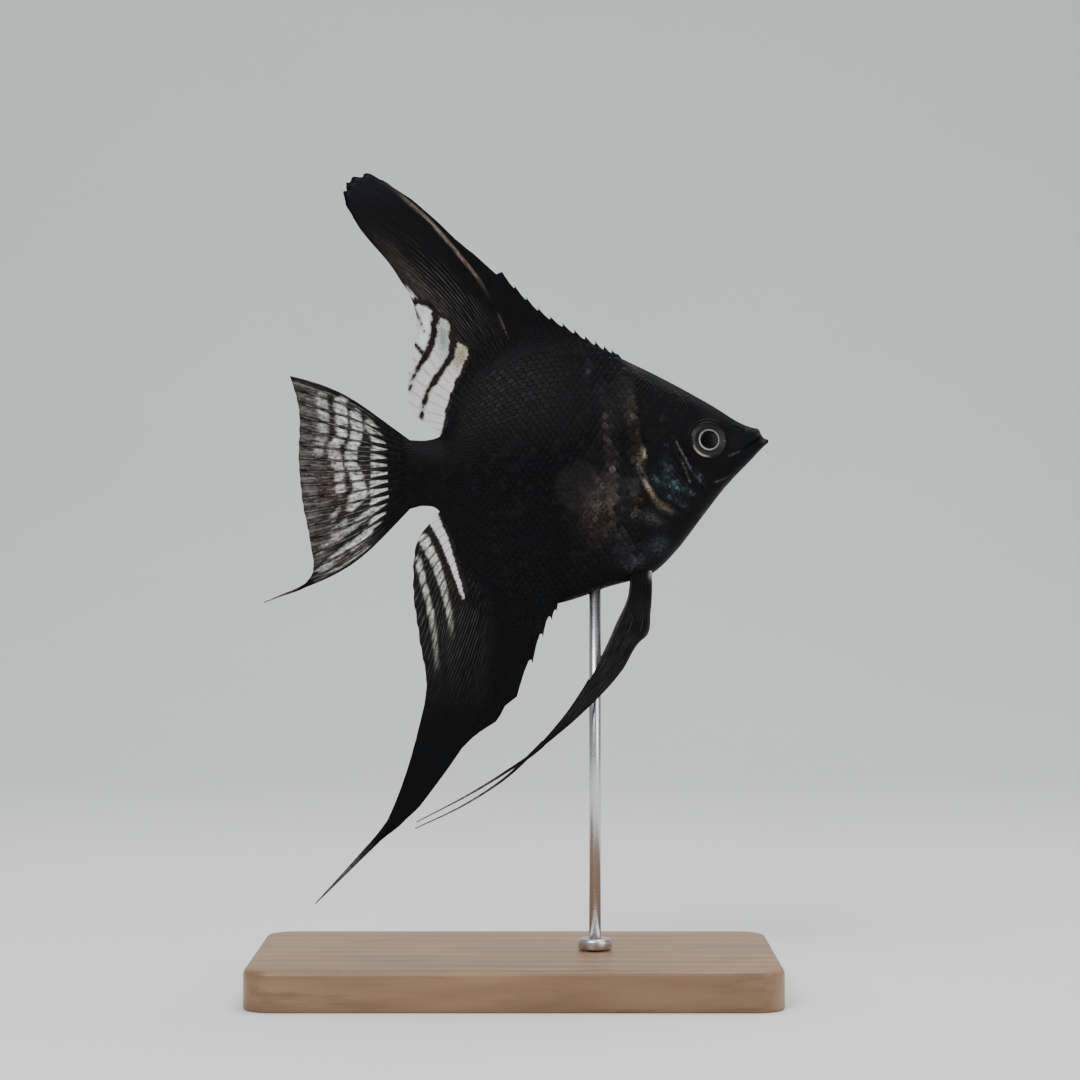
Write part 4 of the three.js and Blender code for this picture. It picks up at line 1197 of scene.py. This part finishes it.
def arc_up(x, share):
    """How far over the flank, from its middle, a share of its height lies."""
    step = HALF_SHARES * (1 + np.arcsin(share) / (np.pi / 2))
    return sample(ARCS, column_at(x), step)


def flat_flank(u, v):
    return np.stack([u, v * crowd(u)], -1)


def flank(u, v):
    """The flank's surface from (forwards, row height): x, half thickness, z."""
    row = (v * crowd(u) - HEIGHTS[0]) / (HEIGHTS[1] - HEIGHTS[0])
    share = sample(SHARES, column_at(u), row)
    return np.stack([u, body_half(u, share), up_at(u, share)], -1)


def fin_surface(grid):
    """A fin's surface from (mm along its base, mm up from it), laid flat too, and its base's length."""
    height = np.hypot(grid["x"] - grid["x"][:, :1], grid["z"] - grid["z"][:, :1])
    fine = np.linspace(0, FIN_REACH, FIN_REACH * FINE + 1)
    stacked = np.stack([grid["x"], grid["half"], grid["z"]], -1)
    even = np.stack([
        np.stack([np.interp(fine, height[i], stacked[i, :, k]) for k in range(3)], -1)
        for i in range(len(height))
    ])
    steps = np.hypot(np.diff(grid["x"][:, 0]), np.diff(grid["z"][:, 0]))
    run = np.concatenate([[0], np.cumsum(steps)])
    columns = np.arange(len(run))

    def surface(u, v):
        return sample(even, np.interp(u, run, columns), np.maximum(v, 0) * FINE)

    def flat(u, v):
        """The same place on the flank laid flat, with the fin going on outwards from its rim."""
        x, z = (np.interp(u, run, grid[axis][:, 0]) for axis in ("x", "z"))
        share = np.clip(share_at(x, z), -1, 1)
        if grid["kind"][0, 0] == TAIL_FIN:
            return np.stack([x - v, arc_up(x, share)], -1)
        return np.stack([x, arc_up(x, share) + np.sign(share) * v], -1)

    return surface, flat, run[-1]


def template():
    """One scale as (rearwards, sideways, up) places and faces, closed all round."""
    stations, across = (0.0, 0.3, 0.55, 0.76, 0.9, 1.0), np.linspace(-1, 1, 6)
    top = []
    for a in stations:
        wide = 0.5 * (1 - max((a - 0.4) / 0.62, 0) ** 2.1) ** 0.5 * between(0.82, 1, min(a / 0.4, 1))
        for b in across:
            lift = 0.6 * a**1.5 - 0.28 * (b * wide * 2) ** 2 * a
            top.append((a + 0.05 * (1 - b * b) * (a > 0.95), b * wide, lift))
    top = np.array(top)
    rows, columns = len(stations), len(across)
    corner = np.arange(rows * columns).reshape(rows, columns)
    quads = cells(corner)[:, ::-1].tolist()
    rim = plate_rim(corner)
    low = top[rim].copy()
    low[:, 2] -= PLATE_DEEP
    under = len(top) + np.arange(len(rim))
    for k in range(len(rim)):
        after = (k + 1) % len(rim)
        quads.append([int(rim[k]), int(rim[after]), int(under[after]), int(under[k])])
    quads.append(under.tolist())
    return np.concatenate([top, low]), quads


TEMPLATE, TEMPLATE_FACES = template()


class Coat:
    """Scales of one side gathered into one piece."""

    def __init__(self, side):
        self.side = side
        self.points, self.tints, self.seeds, self.places = [], [], [], []
        self.roots = []  # where each scale grows, on the flank laid flat, from 0 to 1 each way

    def lay(self, surface, flat, roots, size, rear, dark=1.0, lift=0.12, mirrored=False):
        """Lays scales on a surface at their roots; rear is the way they point in its coordinates."""
        count = len(roots)
        chance = rng.random((count, 5))
        turn = np.radians(SCALE_TURN) * (chance[:, 0] - 0.5)
        long = SCALE_LENGTH * size * between(0.94, 1.06, chance[:, 1])
        wide = SCALE_WIDTH * size * between(0.96, 1.04, chance[:, 2])
        along = TEMPLATE[None, :, 0] * long[:, None]
        across = TEMPLATE[None, :, 1] * wide[:, None]
        back_way = along * np.cos(turn)[:, None] - across * np.sin(turn)[:, None]
        side_way = along * np.sin(turn)[:, None] + across * np.cos(turn)[:, None]
        if mirrored:
            side_way = -side_way
        u = roots[:, :1] + back_way * rear[0] - side_way * rear[1]
        v = roots[:, 1:] + back_way * rear[1] + side_way * rear[0]
        here = surface(u, v)
        by_u = surface(u + SURFACE_STEP, v) - surface(u - SURFACE_STEP, v)
        by_v = surface(u, v + SURFACE_STEP) - surface(u, v - SURFACE_STEP)
        normal = np.cross(by_u, by_v)
        normal *= np.where(normal[..., 1:2] < 0, -1, 1)
        normal /= np.maximum(np.linalg.norm(normal, axis=-1, keepdims=True), 1e-9)
        rise = TEMPLATE[None, :, 2] * lift * between(0.8, 1.25, chance[:, 3])[:, None]
        rise = rise * np.sqrt(size)[:, None]
        place = here + normal * (rise - TUCK)[..., None]
        centre = surface(roots[:, 0] + 0.5 * long * rear[0], roots[:, 1] + 0.5 * long * rear[1])
        tint = body_colour(centre[:, 0], centre[:, 2])
        strength = between(0.25, 1.5, chance[:, 4] ** 1.3)[:, None]
        edge = 1 - 0.6 * np.clip(np.abs(TEMPLATE[:, 1]) * 2 - 0.4, 0, 1)
        edge = edge - 0.4 * (TEMPLATE[:, 0] > 0.95)
        amount = np.clip(tint[:, 3:] * strength * edge[None], 0, 1) * dark
        colour = np.broadcast_to(tint[:, None, :3], place.shape)
        self.points.append(place.reshape(-1, 3))
        self.tints.append(np.concatenate([colour, amount[..., None]], -1).reshape(-1, 4))
        self.seeds.append(np.repeat(rng.random(count), len(TEMPLATE)))
        self.places.append(np.tile(TEMPLATE[:, :2], (count, 1)))
        spot = (flat(*roots.T) + FLAT_HALF) / (2 * FLAT_HALF)
        self.roots.append(np.repeat(spot, len(TEMPLATE), axis=0))

    def make(self, name):
        place = np.concatenate(self.points)
        grain = np.concatenate(self.places)
        points = placed(place[:, 0], self.side * place[:, 1], place[:, 2])
        count = len(points) // len(TEMPLATE)
        faces = []
        for k in range(count):
            first = k * len(TEMPLATE)
            faces += [[v + first for v in face][:: -self.side] for face in TEMPLATE_FACES]
        values = tint_values(np.concatenate(self.tints))
        values |= {"seed": np.concatenate(self.seeds), "back_way": grain[:, 0].copy()}
        made = mesh_object(name, points, faces, values)
        layer = made.data.uv_layers.new(name="OFBake")
        corner = np.zeros(len(made.data.loops), int)
        made.data.loops.foreach_get("vertex_index", corner)
        spot = np.concatenate(self.roots) + BAKE_SPOT * (grain - [0.5, 0])
        layer.data.foreach_set("uv", spot[corner].ravel().astype(np.float32))
        return made


def lattice(pitch, row, low, high, reach):
    """Places in staggered rows, closer together towards the tail."""
    spots = []
    for j in range(-int(reach / row), int(reach / row) + 1):
        x = high - (pitch / 2 if j % 2 else 0)
        while x > low:
            spots.append((x, j * row))
            x -= pitch * float(crowd(np.array(x)))
    spots = np.array(spots)
    return spots + (rng.random(spots.shape) - 0.5) * 0.09 * pitch


def base_scales(small, grid, reach, mirrored):
    """Small scales that climb a fin from its base, smaller as they go."""
    surface, flat, run = fin_surface(grid)
    spots = []
    for j in range(int(reach / BASE_ROW)):
        count = int(run / BASE_PITCH)
        u = (np.arange(count) + (0.5 if j % 2 else 0)) * BASE_PITCH + 0.3
        spots.append(np.stack([u, np.full(count, 0.1 + BASE_ROW * j)], -1))
    spots = np.concatenate(spots)
    spots += (rng.random(spots.shape) - 0.5) * 0.08
    tip = np.hypot(grid["x"][:, -1] - grid["x"][:, 0], grid["z"][:, -1] - grid["z"][:, 0])
    run_at = np.linspace(0, run, len(tip))
    room = np.interp(spots[:, 0], run_at, tip) * 0.45
    kind = grid["kind"][0, 0]
    last = run - (0.4 if kind == TAIL_FIN else 2.6)
    spots = spots[(spots[:, 1] < np.minimum(room, reach)) & (spots[:, 0] < last)]
    for part in np.linspace(0.1, 1, 8):
        at = surface(spots[:, 0], part * (spots[:, 1] + 0.8))
        spots = spots[clearness(at[:, 0], at[:, 2], kind) < -0.9]
    size = between(0.58, 0.4, spots[:, 1] / reach)
    small.lay(surface, flat, spots, size, (0, 1), 0.5, 0.08, mirrored)


def scales(side, dorsal, anal, tail):
    """The scales of one flank, and the small ones of its head and fin bases."""
    coat, small = Coat(side), Coat(side)
    spots = lattice(PITCH, ROW, -30.6, 20, TABLE_UP / TAIL_CROWD)
    at = flank(spots[:, 0], spots[:, 1])
    x, z = at[:, 0], at[:, 2]
    behind = (gill_distance(x, z) < -0.25) | (z > 9.4)
    keep = behind & (np.abs(share_at(x, z)) < 0.985) & (x < between(17.5, 14, ease(*NAPE_SPAN, z)))
    coat.lay(flank, flat_flank, spots[keep], crowd(spots[keep, 0]), (-1, 0))

    spots = lattice(PITCH * SMALL, ROW * SMALL, 10, 33, 30)
    at = flank(spots[:, 0], spots[:, 1])
    x, z = at[:, 0], at[:, 2]
    gill = gill_distance(x, z)
    nape = (z > NAPE_Z) & (x > between(17, 13.5, ease(*NAPE_SPAN, z)))
    nape &= x < between(24.6, 28.5, ease(9, 16, z))
    cover = (z <= NAPE_Z) & (gill > 1.4) & (z > -11)
    eye_gap = np.hypot(x - EYE_AT[0], z - EYE_AT[1]) > EYE_CLEAR
    keep = (nape | cover) & eye_gap & (np.abs(share_at(x, z)) < 0.93) & (x < NAPE_FRONT_X)
    keep &= away_from(PREOPERCLE, x, z) > CREASE_CLEAR
    keep &= away_from(JAW_HINGE, x, z) > JAW_CLEAR
    for points, thin, wide, _, _ in LINES:
        away, along = stroke(points, x - 0.5, z)
        keep &= away > LINE_CLEAR + between(thin, wide, along)
    small.lay(flank, flat_flank, spots[keep], np.full(keep.sum(), SMALL), (-1, 0), 0.9, 0.09)
    base_scales(small, dorsal, 5.6, True)
    base_scales(small, anal, 5.6, False)
    base_scales(small, tail, 4.4, True)
    return coat, small


# ------------------------------------------------------------------ eyes
def smooth_half(x, z):
    """Half of the head's thickness without its folds."""
    share = share_at(x, z)
    return body_half(x, share) - relief(x, z) * ease(*NEAR_RIM, np.abs(share))


def half_at(x, z):
    return smooth_half(np.array(x), np.array(z))


def eye_frame(side):
    """The middle of the eye on the head's surface, with forward, upward and outward directions."""
    x, z = EYE_AT
    slope_x = (half_at(x + 1, z) - half_at(x - 1, z)) / 2
    slope_z = (half_at(x, z + 1) - half_at(x, z - 1)) / 2
    out = np.array([-slope_x, side, -slope_z])
    out /= np.linalg.norm(out)
    forward = np.cross([0, 0, 1], out) * -side
    forward /= np.linalg.norm(forward)
    up = np.cross(forward, out) * side
    middle_y = side * half_at(x, z) + sway(x, z)
    return np.array([x + FISH_AT[0], float(middle_y), z + FISH_AT[1]]), forward, up, out


def disc(side, radii, heights):
    """Rings around the eye's axis as points, faces, radius and angle."""
    centre, forward, up, out = eye_frame(side)
    turn = np.linspace(0, 2 * np.pi, EYE_STEPS + 1)[:-1]
    radii, heights = np.array(radii)[:, None], np.array(heights)[:, None]
    points = centre + (radii * np.cos(turn))[..., None] * forward
    points = points + (radii * np.sin(turn))[..., None] * up + (heights + 0 * turn)[..., None] * out
    rings, around = len(radii), len(turn)
    quads = bands(np.arange(rings * around).reshape(rings, around))[:, ::side]
    return points, quads.tolist(), radii + 0 * turn, turn + 0 * radii


def eye(side, name):
    """An eyeball: a shallow dome with a raised pupil, closed behind the skin."""
    rim = np.linspace(0.02, EYE_RADIUS, 34)
    height = EYE_PROUD - 0.62 * (rim / EYE_RADIUS) ** 2.4
    height += 0.1 * ease(PUPIL_RADIUS + 0.2, PUPIL_RADIUS - 0.5, rim)
    radii = np.concatenate([rim, EYE_RADIUS * np.array([0.99, 0.93, 0.8, 0.5]), [0.02]])
    heights = np.concatenate([height, [-0.1, -0.7, -1.3, -1.9, -2.1]])
    points, faces, radius, angle = disc(side, radii, heights)
    front = list(range(EYE_STEPS))
    rear = [len(radii) * EYE_STEPS - 1 - k for k in front]
    faces += [front[::-side], rear[::-side]]
    return mesh_object(name, points.reshape(-1, 3) * MM, faces,
                       {"radius": radius.ravel().copy(), "angle": angle.ravel().copy()})


def orbit(shell, side):
    """The soft rim of skin around the eye."""
    radii = np.linspace(ORBIT_INNER, ORBIT_OUTER, 16)
    points, faces, radius, _ = disc(side, radii, np.zeros_like(radii))
    x, z = points[..., 0] - FISH_AT[0], points[..., 2] - FISH_AT[1]
    _, _, _, out = eye_frame(side)
    ground = side * smooth_half(x, z)
    points = np.stack([points[..., 0], ground + sway(x, z), points[..., 2]], -1)
    lift = 0.2 + 0.06 * bump(radius, ORBIT_CREST, 0.4)
    lift = lift - 0.3 * ease(ORBIT_CREST, ORBIT_OUTER, radius)
    lift = lift - 0.5 * ease(3.62, ORBIT_INNER, radius)
    points = points + lift[..., None] * out
    shell.add(points.reshape(-1, 3) * MM, faces, body_colour(x, z).reshape(-1, 4))


# ------------------------------------------------------------------ the stand
TURNED_STEPS = 64  # round a turned piece


def capped(name, points, rings):
    """A piece from rings of places (millimetres), closed at either end."""
    corner = np.arange(len(points)).reshape(rings, -1)
    faces = bands(corner).tolist() + [corner[0][::-1].tolist(), corner[-1].tolist()]
    return mesh_object(name, np.array(points) * MM, faces)


def turned(name, x, profile):
    """A turned piece: rings of (radius, height) millimetres about an upright axis."""
    turn = np.linspace(0, 2 * np.pi, TURNED_STEPS + 1)[:-1]
    points = [[x + r * math.cos(a), r * math.sin(a), z] for r, z in profile for a in turn]
    return capped(name, points, len(profile))


BASE_CORNER, BASE_BEVEL, FOOT_BEVEL = 6.0, 1.2, 0.4
COLLAR_ROUNDING = 0.7
ROD_SHARE = 0.98  # of the solid rod's radius


def rounded_edge(outer, top, size):
    """(distance out, height) of a quarter round from an upright side over onto the top."""
    turn = np.linspace(0, np.pi / 2, 7)
    return [(outer - size * (1 - math.cos(a)), top - size * (1 - math.sin(a))) for a in turn]


def stand_base():
    low, high = np.array(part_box("stand_base")) / MM
    profile = [(-FOOT_BEVEL, low[2]), (0, low[2] + FOOT_BEVEL)] + rounded_edge(0, high[2], BASE_BEVEL)
    quarter = np.linspace(0, np.pi / 2, 17)
    corners = [
        (high[0], high[1], -1, -1), (low[0], high[1], 1, -1), (low[0], low[1], 1, 1),
        (high[0], low[1], -1, 1),
    ]
    points = []
    for outset, z in profile:
        radius = BASE_CORNER + outset
        for number, (x, y, inward_x, inward_y) in enumerate(corners):
            centre_x, centre_y = x + inward_x * BASE_CORNER, y + inward_y * BASE_CORNER
            for a in quarter + number * np.pi / 2:
                points.append([centre_x + radius * math.cos(a), centre_y + radius * math.sin(a), z])
    base = capped("stand_base_finished", points, len(profile))
    base.data.polygons[-1].use_smooth = False
    return base


def stand_rod_and_collar():
    low, high = np.array(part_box("stand_rod")) / MM
    x = (low[0] + high[0]) / 2
    radius = (high[0] - low[0]) / 2
    rod = turned("stand_rod_finished", x, [(radius * ROD_SHARE, z) for z in (low[2], high[2])])
    low, high = np.array(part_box("stand_collar")) / MM
    outer, bottom, top = (high[0] - low[0]) / 2, low[2], high[2]
    profile = [(radius + 0.05, bottom), (outer - 0.2, bottom), (outer, bottom + 0.2)]
    profile += rounded_edge(outer, top, COLLAR_ROUNDING)
    profile += [(radius + 0.5, top), (radius + 0.05, top - 0.3)]
    return rod, turned("stand_collar_finished", x, profile)


# ------------------------------------------------------------------ the studio
# In metres, like everything in the studio. Each light: place, size, power.
LIGHTS = {
    "key": ((-0.35, -0.7, 0.75), 0.5, 9),
    "fill": ((0.7, -0.6, 0.35), 0.6, 4),
    "top": ((0.1, 0.15, 0.8), 0.5, 6),
}
LIGHTS_AIM = (0, 0, 0.1)
WORLD_COLOUR, WORLD_STRENGTH = (0.9, 0.95, 1, 1), 0.35
CAMERA_AT, NEAREST = (0.005, -0.6, 0.09), 0.01
LENS_MM, SENSOR_MM = 100, 36
BACKDROP_HALF = 2.4  # half of its width
COVE = 0.5  # where the floor starts to bend up behind the model, and the radius of the bend


def area_light(name, place, size, power):
    data = bpy.data.lights.new(name, "AREA")
    data.shape, data.size, data.energy = "SQUARE", size, power
    made = in_scene(name, data)
    made.location = place
    made.rotation_euler = (Vector(LIGHTS_AIM) - Vector(place)).to_track_quat("-Z", "Y").to_euler()


def studio():
    across = np.linspace(-BACKDROP_HALF, BACKDROP_HALF, 9)
    bend = np.linspace(0, np.pi / 2, 25)
    course = [(-1.4, 0.0), (-0.4, 0.0), (0.3, 0.0)]
    course += [(COVE + COVE * math.sin(a), COVE * (1 - math.cos(a))) for a in bend]
    course += [(2 * COVE, 1.2), (2 * COVE, 2.2)]
    points = [[x, y, z] for y, z in course for x in across]
    faces = cells(np.arange(len(points)).reshape(len(course), len(across))).tolist()
    backdrop = mesh_object("backdrop", points, faces)
    backdrop.data.materials.append(studio_material())
    for name, light in LIGHTS.items():
        area_light(name, *light)
    world = bpy.data.worlds.new("studio")
    world.use_nodes = True
    background = world.node_tree.nodes["Background"].inputs
    background["Color"].default_value = WORLD_COLOUR
    background["Strength"].default_value = WORLD_STRENGTH
    bpy.context.scene.world = world
    lens = bpy.data.cameras.new("camera")
    lens.lens, lens.sensor_width, lens.clip_start = LENS_MM, SENSOR_MM, NEAREST
    camera = in_scene("camera", lens)
    camera.location = CAMERA_AT
    camera.rotation_euler = (math.pi / 2, 0, 0)
    bpy.context.scene.camera = camera


def finished(piece, slot, material, *nodes):
    """A piece that rides with the whole part, looks like its material and replaces solids."""
    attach(piece, "root")
    if nodes:
        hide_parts(*nodes)
    piece.data.materials.append(material)


def build():
    studio()
    shell, windows = Shell(), Shell()
    dorsal, anal, tail = main_skin(shell, windows)
    for side in (-1, 1):
        pelvic_fin(shell, side)
        start, end = PELVIC_APART
        thread(shell, PELVIC_THREADS[side], PELVIC_WIDE, side * start, side * end)
        orbit(shell, side)
        pectoral_fin(windows, side)
    thread(shell, ANAL_THREAD, ANAL_WIDE, 0, 0)
    thread(shell, TAIL_THREAD, TAIL_WIDE, 0, 0)
    finished(
        shell.make("skin"), "body_skin", skin_material(),
        "head", "upper_jaw", "lower_jaw", "gill_cover_right", "gill_cover_left", "trunk", "tail_stalk",
        "dorsal_fin_spines", "dorsal_fin_rays", "anal_fin_spines", "anal_fin_rays", "tail_fin",
        "pelvic_fin_right", "pelvic_fin_left",
    )
    finished(
        windows.make("clear_webs"), "clear_fin", clear_material(),
        "pectoral_fin_right", "pectoral_fin_left", "dorsal_fin_rays", "anal_fin_rays",
    )
    horn = scale_material()
    for side, word in ((-1, "right"), (1, "left")):
        coat, small = scales(side, dorsal, anal, tail)
        finished(coat.make(f"scales_{word}"), "body_skin", horn, "trunk", "tail_stalk")
        finished(small.make(f"small_scales_{word}"), "body_skin", horn, "head", f"gill_cover_{word}")
    glass = eye_material()
    finished(eye(-1, "right_eye"), "eyeball", glass, "eye_right")
    finished(eye(1, "left_eye"), "eyeball", glass, "eye_left")
    rod, collar = stand_rod_and_collar()
    steel = steel_material()
    finished(stand_base(), "stand_wood", wood_material(), "stand_base")
    finished(rod, "stand_steel", steel, "stand_rod")
    finished(collar, "stand_steel", steel, "stand_collar")


build()
